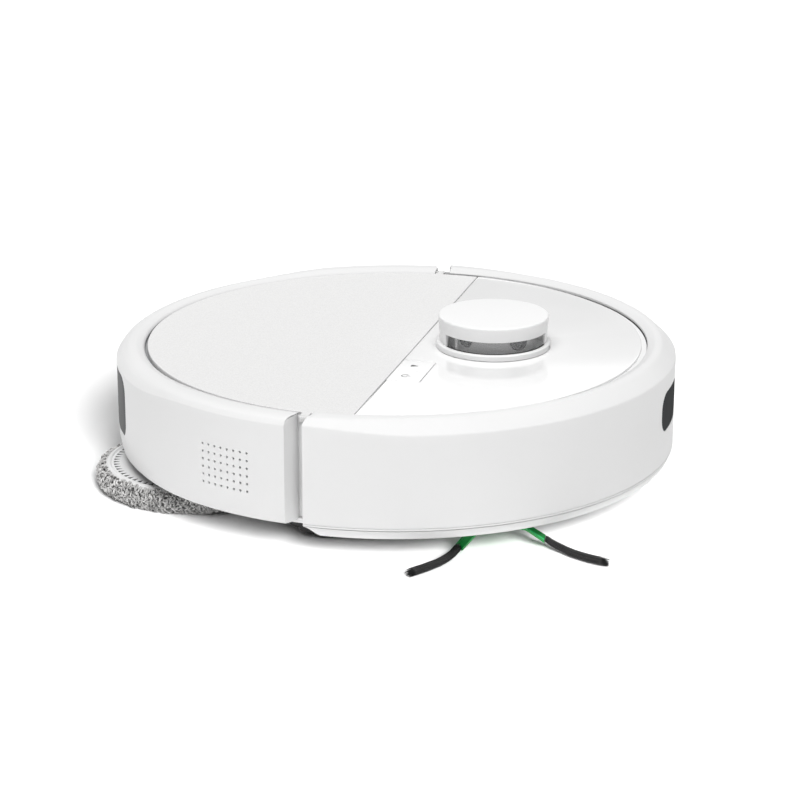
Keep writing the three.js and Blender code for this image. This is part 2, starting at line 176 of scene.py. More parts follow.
def soft_line(points, reach, steps=5, closed=False):
    """A polyline with rounded corners: at each corner a quadratic Bezier curve starts and
    ends `reach` away from it, or 45 % of the side if that is less."""
    p = np.asarray(points, float)
    reach = np.broadcast_to(np.asarray(reach, float), len(p))[:, None]

    def toward(other):
        step = other - p
        length = np.linalg.norm(step, axis=1, keepdims=True) + 1e-9
        return p + step / length * np.minimum(reach, 0.45 * length)

    a, b = toward(np.roll(p, 1, 0)), toward(np.roll(p, -1, 0))
    t = np.linspace(0, 1, steps)[None, :, None]
    curve = (1 - t) ** 2 * a[:, None] + 2 * t * (1 - t) * p[:, None] + t * t * b[:, None]
    if closed:
        return curve.reshape(-1, p.shape[1])
    return np.vstack([p[:1], curve[1:-1].reshape(-1, p.shape[1]), p[-1:]])


def arc(radius, start, end, count, middle=(0.0, 0.0)):
    """Points on a circle between two angles in degrees."""
    a = np.radians(np.linspace(start, end, count))
    return np.stack([middle[0] + radius * np.cos(a), middle[1] + radius * np.sin(a)], 1)


def round_loop(radius, middle=(0.0, 0.0), count=48):
    """Points round a circle, anticlockwise."""
    return arc(radius, 0, 360, count + 1, middle)[:-1]


def box_loop(x, y, corner, steps=6):
    """A rectangle with quarter-round corners, counter-clockwise."""
    (x0, x1), (y0, y1) = x, y
    turns = [(x1, y1, 0), (x0, y1, 90), (x0, y0, 180), (x1, y0, 270)]
    inward = [(-1, -1), (1, -1), (1, 1), (-1, 1)]
    return np.vstack([
        arc(corner, a, a + 90, steps, (px + sx * corner, py + sy * corner))
        for (px, py, a), (sx, sy) in zip(turns, inward)
    ])


def link_loop(a, ra, b, rb, count=20):
    """Two circles joined by their outer tangents, counter-clockwise."""
    a, b = np.asarray(a, float), np.asarray(b, float)
    heading = np.degrees(np.arctan2(*(b - a)[::-1]))
    lean = np.degrees(np.arccos((ra - rb) / np.linalg.norm(b - a)))
    return np.vstack([
        arc(ra, heading + lean, heading - lean + 360, count, a),
        arc(rb, heading - lean, heading + lean, count, b),
    ])


def inset(loop, distance):
    """Moves a loop to its left: each point goes along the mean of its sides' normals, far
    enough that the sides stay `distance` away."""
    side = np.roll(loop, -1, 0) - loop
    side = side / (np.linalg.norm(side, axis=1, keepdims=True) + 1e-12)
    normal = np.stack([-side[:, 1], side[:, 0]], 1)
    mean = normal + np.roll(normal, 1, 0)
    mean = mean / (np.linalg.norm(mean, axis=1, keepdims=True) + 1e-12)
    lean = np.clip((mean * normal).sum(1, keepdims=True), 0.35, 1)
    return loop + mean * distance / lean


def ray_outline(directions, half, corner):
    """Where rays from the middle meet a rounded rectangle, by halving the distance 40 times
    on its signed distance |max(|p| - half + corner, 0)| - corner."""
    unit = directions / np.linalg.norm(directions, axis=1, keepdims=True)
    low, high = np.zeros(len(unit)), np.full(len(unit), 2.0 * max(half))
    for _ in range(40):
        mid = (low + high) / 2
        q = np.abs(unit * mid[:, None]) - (np.array(half) - corner)
        gap = np.linalg.norm(np.maximum(q, 0), axis=1) + np.minimum(q.max(1), 0) - corner
        low, high = np.where(gap < 0, mid, low), np.where(gap < 0, high, mid)
    return unit * low[:, None]


# ---------------------------------------------------------------- meshes
def cut(*loops):
    """Point numbers of the triangles inside the first loop and outside the others, on their
    first two coordinates."""
    return np.array(tessellate_polygon([[(x, y, 0.0) for x, y in loop[:, :2]] for loop in loops]))


class Shape:
    """Surfaces gathered into one mesh, in millimetres. `look` picks the material and `tone`
    is a number per point that a material may read."""

    def __init__(self):
        self.points, self.faces, self.looks, self.tones, self.count = [], [], [], [], 0

    def add(self, points, faces, look=0, tone=0.5):
        """Points with the faces between them. Returns the first point's number."""
        points = np.asarray(points, float).reshape(-1, 3)
        first, self.count = self.count, self.count + len(points)
        self.points.append(points)
        self.tones.append(np.broadcast_to(np.asarray(tone, float), len(points)))
        self.join(np.asarray(faces) + first, look)
        return first

    def join(self, faces, look=0):
        """Faces on points that are already here."""
        self.faces += faces.tolist()
        self.looks.append(np.full(len(faces), look))

    def take(self, other, look=0):
        """Adds another shape's surfaces with one material."""
        first, self.count = self.count, self.count + other.count
        self.points += other.points
        self.tones += other.tones
        self.faces += [[i + first for i in face] for face in other.faces]
        self.looks.append(np.full(len(other.faces), look))

    def lattice(self, points, across=False, around=False, look=0, tone=0.5, skip=None):
        """Quads between neighbours of an (n, m, 3) grid. `across` and `around` close the
        first and the second index on themselves; `skip` marks quads that are left out."""
        n, m = points.shape[:2]
        index = np.arange(n * m).reshape(n, m)
        wide = np.vstack([index, index[:1]]) if across else index
        wide = np.hstack([wide, wide[:, :1]]) if around else wide
        quads = np.stack([wide[:-1, :-1], wide[1:, :-1], wide[1:, 1:], wide[:-1, 1:]], -1)
        kept = quads.reshape(-1, 4) if skip is None else quads[~skip]
        return index + self.add(points, kept, look, tone)

    def caps(self, loops, look=0):
        """A flat or gently bent face inside the first loop of (k, 3) points and outside the
        others."""
        self.add(np.vstack(loops), cut(*loops), look)

    def close(self, loop, tip=None, look=0):
        """Triangles from a loop to a tip, which is the loop's mean unless it is given."""
        tip = np.broadcast_to(loop.mean(0) if tip is None else tip, loop.shape)
        self.lattice(np.stack([loop, tip]), around=True, look=look)

    def slab(self, outer, holes=(), z=(0.0, 1.0), edge=0.6, under=0.3, look=0):
        """A plate between two heights. Its rim turns a quarter circle of radius `edge` at the
        top and `under` at the bottom, and the flat faces start 0.3 mm inside the rim."""
        t = np.radians(np.linspace(0, 90, 5))
        top = np.stack([edge * (1 - np.cos(t)), z[1] - edge + edge * np.sin(t)], 1)
        low = np.stack([under * (1 - np.cos(t)), z[0] + under - under * np.sin(t)], 1)[::-1]
        rim = np.vstack([[(under + 0.3, z[0])], low, top, [(edge + 0.3, z[1])]])
        last = [[], []]
        for loop in (outer, *[h[::-1] for h in holes]):
            rings = np.stack([np.column_stack([inset(loop, d), np.full(len(loop), h)])
                              for d, h in rim])
            self.lattice(rings, around=True, look=look)
            last[0].append(rings[0])
            last[1].append(rings[-1])
        self.caps(last[0], look)
        self.caps(last[1], look)

    def turned(self, profile, middle=(0.0, 0.0, 0.0), count=96, closed=False, look=0, frame=None):
        """A profile of (radius, height) points turned once about its axis. `frame` is a 3 x 3
        matrix whose columns are the directions of the turned shape's x, y and z."""
        a = np.radians(np.arange(count) * 360 / count)[:, None]
        r, h = profile[None, :, 0], profile[None, :, 1]
        points = np.stack([r * np.cos(a), r * np.sin(a), h + 0 * a], -1)
        if frame is not None:
            points = points @ np.asarray(frame, float).T
        return self.lattice(points + np.asarray(middle, float), across=True, around=closed,
                            look=look)

    def sheet(self, front, back, look=0):
        """A closed body between two (n, m, 3) grids with the same layout."""
        self.lattice(front, look=look)
        self.lattice(back, look=look)
        for a, b in ((front[0], back[0]), (front[-1], back[-1]),
                     (front[:, 0], back[:, 0]), (front[:, -1], back[:, -1])):
            self.lattice(np.stack([a, b]), look=look)

    def tubes(self, lines, radius, sides=5, look=0, tone=0.5):
        """Tubes with pointed ends along (n, k, 3) centre lines. Ring points are
        line + radius (side cos a + up sin a), with side square to the line and to +Z or +X."""
        n, k = lines.shape[:2]
        ahead = np.gradient(lines, axis=1)
        ahead /= np.linalg.norm(ahead, axis=2, keepdims=True) + 1e-12
        steep = np.abs(ahead[..., 2:]) > 0.8
        away = np.where(steep, np.array([1.0, 0, 0]), np.array([0, 0, 1.0]))
        side = np.cross(ahead, away)
        side /= np.linalg.norm(side, axis=2, keepdims=True) + 1e-12
        up = np.cross(side, ahead)
        a = np.arange(sides) * 2 * np.pi / sides
        ring = np.asarray(radius, float)
        ring = np.broadcast_to(ring, (n, k))[:, 1:-1, None, None]
        body = (lines[:, 1:-1, None] + ring * (side[:, 1:-1, None] * np.cos(a)[:, None]
                                               + up[:, 1:-1, None] * np.sin(a)[:, None]))
        points = np.concatenate([lines[:, :1], body.reshape(n, -1, 3), lines[:, -1:]], 1)
        inner = 1 + np.arange((k - 2) * sides).reshape(k - 2, sides)
        turn = np.roll(inner, -1, 1)
        quads = np.stack([inner[:-1], inner[1:], turn[1:], turn[:-1]], -1).reshape(-1, 4)
        end = 1 + (k - 2) * sides
        fans = np.vstack([np.stack([np.zeros(sides, int), inner[0], turn[0]], 1),
                          np.stack([np.full(sides, end), turn[-1], inner[-1]], 1)])
        start = (np.arange(n) * (end + 1))[:, None, None]
        tones = np.repeat(np.broadcast_to(np.asarray(tone, float), n), end + 1)
        first = self.add(points, (quads[None] + start).reshape(-1, 4), look, tones)
        self.join((fans[None] + start).reshape(-1, 3) + first, look)


def piece(name, shape, body, looks, stands_for="", crease=32, merge=True):
    """Puts a Shape into the scene as one object at the origin that rides on a body. `looks` names
    its finishes in the order of the shape's look numbers."""
    mesh = bpy.data.meshes.new(name)
    points = np.vstack(shape.points) * MM
    mesh.from_pydata(points.tolist(), [], shape.faces)
    mesh.polygons.foreach_set("material_index", np.concatenate(shape.looks).astype(np.int32))
    tone = mesh.attributes.new("tone", "FLOAT", "POINT")
    tone.data.foreach_set("value", np.concatenate(shape.tones).astype(np.float32))
    if merge:
        work = bmesh.new()
        work.from_mesh(mesh)
        bmesh.ops.remove_doubles(work, verts=work.verts, dist=4e-6)
        bmesh.ops.recalc_face_normals(work, faces=work.faces)
        work.to_mesh(mesh)
        work.free()
    mesh.polygons.foreach_set("use_smooth", np.ones(len(mesh.polygons), bool))
    mesh.set_sharp_from_angle(angle=np.radians(crease))
    for look in looks.split():
        mesh.materials.append(finishes[look])
    thing = bpy.data.objects.new(name, mesh)
    bpy.context.scene.collection.objects.link(thing)
    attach(thing, body)
    if stands_for:
        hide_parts(stands_for)
    return thing


# ---------------------------------------------------------------- finishes
class Value:
    """One value in a finish. Arithmetic on it adds Math nodes."""

    def __init__(self, finish, socket):
        self.finish, self.socket = finish, socket

    def math(self, operation, *others):
        """A Math node on this value and the others."""
        return self.finish.node("ShaderNodeMath", {"operation": operation},
                                dict(enumerate((self, *others))))

    def __add__(self, other):
        return self.math("ADD", other)

    def __sub__(self, other):
        return self.math("SUBTRACT", other)

    def __rsub__(self, other):
        return self.finish.node("ShaderNodeMath", {"operation": "SUBTRACT"}, {0: other, 1: self})

    def __mul__(self, other):
        return self.math("MULTIPLY", other)

    def ease(self, start, end):
        """0 below start, 1 above end, smooth between."""
        return self.finish.node(
            "ShaderNodeMapRange", {"interpolation_type": "SMOOTHSTEP"},
            {"Value": self, "From Min": start, "From Max": end, "To Min": 0.0, "To Max": 1.0})

    __radd__ = __add__
    __rmul__ = __mul__


class Finish:
    """A material with one Principled shader. Keyword values are its constant sockets."""

    def __init__(self, name, **constants):
        self.material = bpy.data.materials.new(name)
        self.material.use_nodes = True
        self.tree = self.material.node_tree
        self.tree.nodes.clear()
        self.shader = self.tree.nodes.new("ShaderNodeBsdfPrincipled")
        output = self.tree.nodes.new("ShaderNodeOutputMaterial")
        self.tree.links.new(self.shader.outputs[0], output.inputs[0])
        for socket, value in constants.items():
            self.shader.inputs[socket.replace("_", " ")].default_value = value
        self.place = self.node("ShaderNodeTexCoord", out="Object")

    def node(self, kind, settings=None, values=None, out=0):
        """Adds a node: its settings first (a ramp's stops as (place, colour) pairs), then the
        values or links of its sockets, by name or number."""
        node = self.tree.nodes.new(kind)
        for name, value in (settings or {}).items():
            if name == "stops":
                for k, (place, colour) in enumerate(value):
                    stop = (node.color_ramp.elements[k] if k < 2
                            else node.color_ramp.elements.new(place))
                    stop.position, stop.color = place, colour
            else:
                setattr(node, name, value)
        for name, value in (values or {}).items():
            if isinstance(value, Value):
                self.tree.links.new(value.socket, node.inputs[name])
            else:
                node.inputs[name].default_value = value
        return Value(self, node.outputs[out])

    def noise(self, scale, detail=2.0, stretch=None):
        """Noise in object space, 0 to 1, with `scale` waves to the metre."""
        place = self.place
        if stretch:
            place = self.node("ShaderNodeMapping", None, {"Vector": place, "Scale": stretch})
        return self.node("ShaderNodeTexNoise", None,
                         {"Vector": place, "Scale": scale, "Detail": detail}, "Fac")

    def axis(self, name):
        """The X, Y or Z coordinate in metres."""
        return self.node("ShaderNodeSeparateXYZ", None, {0: self.place}, name)

    def attribute(self, name):
        """A number that the mesh holds for each point."""
        return self.node("ShaderNodeAttribute", {"attribute_name": name}, None, "Fac")

    def mix(self, factor, first, second):
        """A colour that goes from first to second as factor goes from 0 to 1."""
        return self.node("ShaderNodeMix", {"data_type": "RGBA"}, {0: factor, 6: first, 7: second},
                         2)

    def bump(self, height, distance, strength):
        """A normal tilted by a height pattern, `distance` metres deep."""
        return self.node("ShaderNodeBump", None,
                         {"Height": height, "Distance": distance, "Strength": strength}, "Normal")

    def done(self, **links):
        """Links patterns to the shader's sockets and returns the material."""
        for socket, value in links.items():
            self.tree.links.new(value.socket, self.shader.inputs[socket.replace("_", " ")])
        return self.material


def grey(value, warm=0.0):
    """A grey, with red raised and blue lowered by the share `warm`."""
    return (value * (1 + warm), value, value * (1 - warm), 1.0)


def grained(name, dark, light, grain, drift, share, rough, bump, **constants):
    """Colour and roughness that follow two noises, each given as (scale, detail), the drift
    also as (..., start, end) of an eased step. Colour = drift share[0] + grain share[1];
    roughness = rough[0] + drift rough[1] + grain rough[2]; bump is (depth, strength)."""
    m = Finish(name, **constants)
    fine, slow = m.noise(*grain), m.noise(*drift[:2])
    if drift[2:]:
        slow = slow.ease(*drift[2:])
    return m.done(
        Base_Color=m.mix(slow * share[0] + fine * share[1], dark, light),
        Roughness=slow * rough[1] + fine * rough[2] + rough[0],
        Normal=m.bump(fine, *bump),
    )


def moulded(name, colour, shade, rough, grain=900.0, **constants):
    """Moulded plastic: colour drifts slowly to shade, fine spark grain in height and gloss."""
    return grained(name, colour, shade, (grain, 3.0), (9.0, 2.0, 0.35, 0.7), (0.7, 0.3),
                   (rough - 0.08, 0.05, 0.16), (2e-5, 0.6), **constants)


def smoked(name, dark, light, alpha=1.0, rough=0.08, coat=0.4, gloss=0.5):
    """Tinted clear plastic, paler where the moulding is thin."""
    return grained(name, dark, light, (40.0, 2.0), (1800.0, 2.0), (0.0, 1.0), (rough, 0.05, 0.0),
                   (4e-5, 0.3), Alpha=alpha, Coat_Weight=coat, Coat_Roughness=0.03,
                   Specular_IOR_Level=gloss)


def green_moulding(name, deep, bright):
    """Coloured plastic under a thin coat."""
    return grained(name, deep, bright, (1200.0, 2.0), (70.0, 2.0), (0.6, 0.4), (0.3, 0.0, 0.12),
                   (2e-5, 0.6), Coat_Weight=0.15, Coat_Roughness=0.2)


def fibres(name, dark, light, lint, rough, bump, **constants):
    """Yarn or bristles: each has its own tone, with fine filaments along it. Roughness is
    rough[0] + tone rough[1] + lint rough[2]."""
    m = Finish(name, **constants)
    tone, fine = m.attribute("tone"), m.noise(*lint)
    return m.done(
        Base_Color=m.mix(tone * 0.8 + fine * 0.2, dark, light),
        Roughness=tone * rough[1] + fine * rough[2] + rough[0],
        Normal=m.bump(fine, *bump),
    )


def woven_cover():
    """Pale textured lid: two crossed sine ribs 1.3 mm apart, with speckle between them."""
    m = Finish("woven_cover", Coat_Weight=0.0)
    x, y = m.axis("X"), m.axis("Y")
    rib = 2 * np.pi / 0.0013
    warp = (x * rib).math("SINE")
    weft = (y * rib).math("SINE")
    knit = warp * weft * 0.5 + 0.5
    speck = m.noise(1500.0, 2.0).ease(0.3, 0.7)
    drift = m.noise(14.0)
    tone = knit * 0.45 + speck * 0.55
    return m.done(
        Base_Color=m.mix(tone, grey(0.64, 0.004), grey(0.78, 0.002)),
        Roughness=0.62 - tone * 0.12 + (drift - 0.5) * 0.05,
        Normal=m.bump(tone, 8e-5, 0.7),
    )


def brushed_steel():
    """Steel with fine lines along y, which are 12 times longer than wide."""
    m = Finish("brushed_steel")
    lines = m.noise(500.0, 3.0, (1.0, 12.0, 1.0))
    return m.done(
        Base_Color=m.mix(lines, grey(0.50, -0.01), grey(0.68, -0.01)),
        Roughness=lines * 0.18 + 0.24,
        Metallic=lines * 0.06 + 0.94,
        Normal=m.bump(lines, 1.5e-5, 0.6),
    )


def make_finishes():
    """Every finish by the name that the pieces use."""
    return {
        "white": moulded("white_moulding", grey(0.725), grey(0.70), 0.4, Specular_IOR_Level=0.06),
        # The turret cap's glossier finish is its own; its paler white than the body's is painted
        # light for its brightly lit top.
        "turret": moulded("turret_moulding", grey(0.835), grey(0.81), 0.34, Specular_IOR_Level=0.4),
        "white_inner": moulded("white_inner_moulding", grey(0.66), grey(0.60), 0.5, 700.0),
        "rotor": moulded("pale_grey_moulding", grey(0.88), grey(0.84), 0.45, 800.0),
        "inner": moulded("grey_moulding", grey(0.26, -0.02), grey(0.31, -0.02), 0.52, 800.0),
        "dark": moulded("dark_moulding", grey(0.020), grey(0.032), 0.42, 1100.0),
        "ink": moulded("grey_print", grey(0.11), grey(0.16), 0.5),
        "cover": woven_cover(),
        "deck": grained("deck_gloss", grey(0.87), grey(0.90), (26.0, 1.0), (2600.0, 2.0),
                        (0.0, 1.0), (0.09, 0.05, 0.04), (6e-5, 0.3),
                        Coat_Weight=0.6, Coat_Roughness=0.04),
        "window": smoked("window_smoke", grey(0.05, -0.02), grey(0.066, -0.02), 1.0, 0.4, 0.0, 0.0),
        "rear_window": smoked("rear_window_smoke", grey(0.115, -0.01), grey(0.14, -0.01),
                              1.0, 0.4, 0.0, 0.01),
        "pane": smoked("turret_smoke", grey(0.50, -0.01), grey(0.56, -0.01), 0.15, 0.2, 0.0, 0.3),
        "bin": smoked("bin_smoke", grey(0.20, -0.03), grey(0.26, -0.03), 0.5),
        "glass": smoked("lens_glass", grey(0.05, -0.02), grey(0.09, -0.02), 1.0, 0.04),
        "rubber": grained("rubber_black", grey(0.032), grey(0.058, 0.01), (1300.0, 3.0),
                          (60.0, 3.0, 0.45, 0.75), (1.0, 0.0), (0.68, 0.12, 0.1), (5e-5, 0.8),
                          Specular_IOR_Level=0.35),
        "green": green_moulding("green_moulding", (0.002, 0.24, 0.035, 1), (0.004, 0.34, 0.06, 1)),
        # A paler green for a strip along one upper edge of each side-brush arm: a painted highlight.
        "green_light": green_moulding("green_light", (0.01, 0.55, 0.13, 1), (0.03, 0.68, 0.2, 1)),
        "board": green_moulding("circuit_board", (0.006, 0.06, 0.02, 1), (0.01, 0.1, 0.04, 1)),
        "steel": brushed_steel(),
        "fibre": fibres("microfibre", grey(0.10, 0.02), grey(0.74, 0.01), (2800.0, 3.0),
                        (0.86, 0.0, 0.1), (1e-4, 0.8), Sheen_Weight=0.25, Sheen_Roughness=0.5,
                        Specular_IOR_Level=0.15),
        "bristle": fibres("bristle_nylon", grey(0.006), grey(0.035), (900.0, 2.0),
                          (0.34, 0.15, 0.0), (2e-5, 0.5)),
        "paper": grained("filter_paper", grey(0.52, 0.03), grey(0.74, 0.02), (1400.0, 4.0),
                         (9.0, 2.0), (0.0, 1.0), (0.84, 0.0, 0.1), (6e-5, 0.8),
                         Specular_IOR_Level=0.2),
    }


# ---------------------------------------------------------------- bumper and rear shell
def line_rows(start, end, opening, count):
    """Heights (or angles) from start to end with `count` even steps inside each opening and
    steps of about 1.6 units elsewhere."""
    marks = [start, *[edge for pair in opening for edge in pair], end]
    parts = []
    for k in range(len(marks) - 1):
        steps = count[k // 2] if k % 2 else max(2, int(abs(marks[k + 1] - marks[k]) / 1.6))
        parts.append(np.linspace(marks[k], marks[k + 1], steps + 1)[:-1])
    return np.concatenate([*parts, [end]])


def section_of(foot, wall, crown, reach):
    """Closed section as (radius, height): the foot, up the wall's rows, over the softened
    crown and down the inner wall."""
    over = soft_line(np.vstack([wall[-1:], crown, foot[:1]]), [0, *reach, 0])
    return np.vstack([foot, wall, over[1:-1]])


class Shell:
    """A moulded ring wall, swept along the azimuth between two slanted ends."""

    def __init__(self, heading, end_line, azimuths, sections, web_from):
        self.heading, self.end_line, self.web_from = heading, end_line, web_from
        self.azimuths, self.sections = azimuths, sections
        self.shape = Shape()
        limit = azimuths[-1]
        radius, height = sections[..., 0], sections[..., 1]
        near = smooth(np.abs(azimuths), limit - 6, limit)[:, None]
        slant = np.degrees(np.arccos(np.clip(self.end_x(radius) / radius, -1, 1))) - limit
        angle = np.radians(azimuths[:, None] + np.sign(azimuths)[:, None] * near * slant + heading)
        self.points = np.stack([radius * np.cos(angle), radius * np.sin(angle), height], -1)
        self.skip = np.zeros((len(azimuths) - 1, sections.shape[1]), bool)
        self.cuts = []

    def end_x(self, radius):
        """Distance of the end face in front of the middle: straight inside the bend radius,
        then sloping to the outer wall."""
        outer, inner = self.end_line
        t = np.clip((radius - SPLIT_BEND_R) / (BODY_R - 0.5 - SPLIT_BEND_R), 0, 1)
        return inner + (outer - inner) * t

    def on_wall(self, arc_height, depth, rows):
        """(arc length, height) to a point `depth` below the wall: the azimuth is the arc over
        the body radius, the radius that of the wall at that height."""
        arc_length, height = arc_height[..., 0], arc_height[..., 1]
        angle = arc_length / BODY_R + np.radians(self.heading)
        radius = np.interp(height, rows[:, 1], rows[:, 0]) - depth
        return np.stack([radius * np.cos(angle), radius * np.sin(angle), height], -1)

    def opening(self, columns, rows, middle, outline, rings, wall):
        """Replaces the quads between two columns and two rows by rings that run from their
        border to an outline round `middle`; each ring is (scale of the outline, growth, depth,
        look)."""
        (i0, i1), (j0, j1) = columns, rows
        self.skip[i0:i1, j0:j1] = True
        ij = [(np.arange(i0, i1), np.full(i1 - i0, j0)), (np.full(j1 - j0, i1), np.arange(j0, j1)),
              (np.arange(i1, i0, -1), np.full(i1 - i0, j1)),
              (np.full(j1 - j0, i0), np.arange(j1, j0, -1))]
        i, j = (np.concatenate(k) for k in zip(*ij))
        border = np.stack([np.radians(self.azimuths[i]) * BODY_R, self.sections[i, j, 1]], 1)
        toward = border - middle
        last = self.points[i, j]
        for scale, grow, depth, ring_look in rings:
            loop = middle + outline(toward, grow) * scale
            ring = self.on_wall(loop, depth, wall)
            self.cuts.append((np.stack([last, ring]), ring_look))
            last = ring
        return toward

    def web(self, side):
        """The end face between the wall and the drum inside it: a 1.6 mm sheet on the end line,
        from the foot into the crown."""
        start, lift = self.web_from
        radius = np.linspace(start, 172.6, 8)
        low = self.sections[0, :, 1].min() + 0.4
        top = np.interp(radius, [157.4, 158.4, 163.2, 169, 171.5, 172.6],
                        [82.6, 83.2, 84.7, 84.6, 83.9, 83.2]) + lift
        height = low + (top - low)[:, None] * np.linspace(0, 1, 12)[None]
        ahead = np.cos(np.radians(self.heading))
        grids = []
        for back in (-0.03, 1.65):
            x = (self.end_x(radius) + back) * ahead
            y = side * np.sqrt(radius ** 2 - x ** 2)
            grids.append(np.stack([x[:, None] + 0 * height, y[:, None] + 0 * height, height], -1))
        self.shape.sheet(*grids)

    def finish(self):
        """The wall with its openings, both end faces and their webs, as one Shape."""
        self.shape.lattice(self.points, around=True, skip=self.skip)
        for rings, look in self.cuts:
            self.shape.lattice(rings, around=True, look=look)
        for k in (0, -1):
            self.shape.add(self.points[k], cut(self.sections[k]))
        for side in (-1, 1):
            self.web(side)
        return self.shape


def wall_rows(heights, wall):
    """(radius, height) of a wall profile at the given heights."""
    return np.stack([np.interp(heights, wall[:, 1], wall[:, 0]), heights], 1)


def window_glass(shell, toward, middle, outline, wall, depth, thick):
    """A curved pane that fills an opening: rings from its middle to its softened rim on the
    front, down its side and back to the middle."""
    steps = np.linspace(0, 1, 14)[:-1]
    rings = [*[(s, 0.0, depth) for s in steps], (1, -0.5, depth), (1, -0.15, depth + 0.12),
             (1, 0.0, depth + 0.5), (1, 0.0, depth + thick),
             *[(s, 0.0, depth + thick) for s in steps[::-1]]]
    grid = np.stack([shell.on_wall(middle + outline(toward, g) * s, d, wall) for s, g, d in rings])
    shape = Shape()
    shape.lattice(grid, around=True)
    return shape


def make_bumper():
    """Front ring with its chamfer, seam and window."""
    wall = np.array([(175.0, 25.0), (175.0, 76.4)])
    heights = line_rows(25, 76.4, [(38.0, 71.0)], [24])
    rows = wall_rows(heights, wall)
    foot = np.array([(172.5, 21.1), (174.8, 21.1), (175.0, 21.3), (175.0, 22.1), (174.65, 22.25),
                     (174.65, 22.55),
                     (175.0, 22.7)])
    rest = [(162.3, 86.8), (157.0, 84.2), (157.4, 82.4), (162.8, 84.4)]
    full = [(175, 78.4), (166.3, 86.4), *rest, (165.2, 84.0), (172.5, 77.3)]
    slim = [(175, 82.0), (171.0, 86.2), *rest, (168.6, 83.9), (172.5, 80.6)]
    reach = [0.9, 1.6, 1.4, 0.7, 0.5, 1.0, 1.2, 1.2]
    full, slim = (section_of(foot, rows, c, reach) for c in (full, slim))
    limit = np.degrees(np.arccos(-8.5 / BODY_R))
    azimuths = line_rows(-limit, limit, [(-8.9, 8.9)], [32])
    weight = smooth(np.abs(azimuths), 94, 70)[:, None, None]
    shell = Shell(0, (-8.5, -4.0), azimuths, slim * (1 - weight) + full * weight, (163.6, 0.7))
    middle = np.array([0.0, 54.8])
    pill = lambda toward, grow: ray_outline(toward, (23.95 + grow, 12.2 + grow), 10 + grow)
    i = [int(np.argmin(abs(azimuths - a))) for a in (-8.9, 8.9)]
    j = [len(foot) + int(np.argmin(abs(heights - h))) for h in (38.0, 71.0)]
    scales = [(s, 0.3, 2.1, 1) for s in np.linspace(0.9, 0, 9)]
    toward = shell.opening(i, j, middle, pill, [(1, 0.5, 0.0, 0), (1, 0.3, 0.25, 0),
                                                (1, 0.3, 2.1, 1), *scales], wall)
    piece("bumper_moulding", shell.finish(), "bumper", "white dark",
          "bumper_shell")
    glass = window_glass(shell, toward, middle, pill, wall, 0.3, 1.5)
    piece("front_sensor_window", glass, "bumper", "window", "front_window")


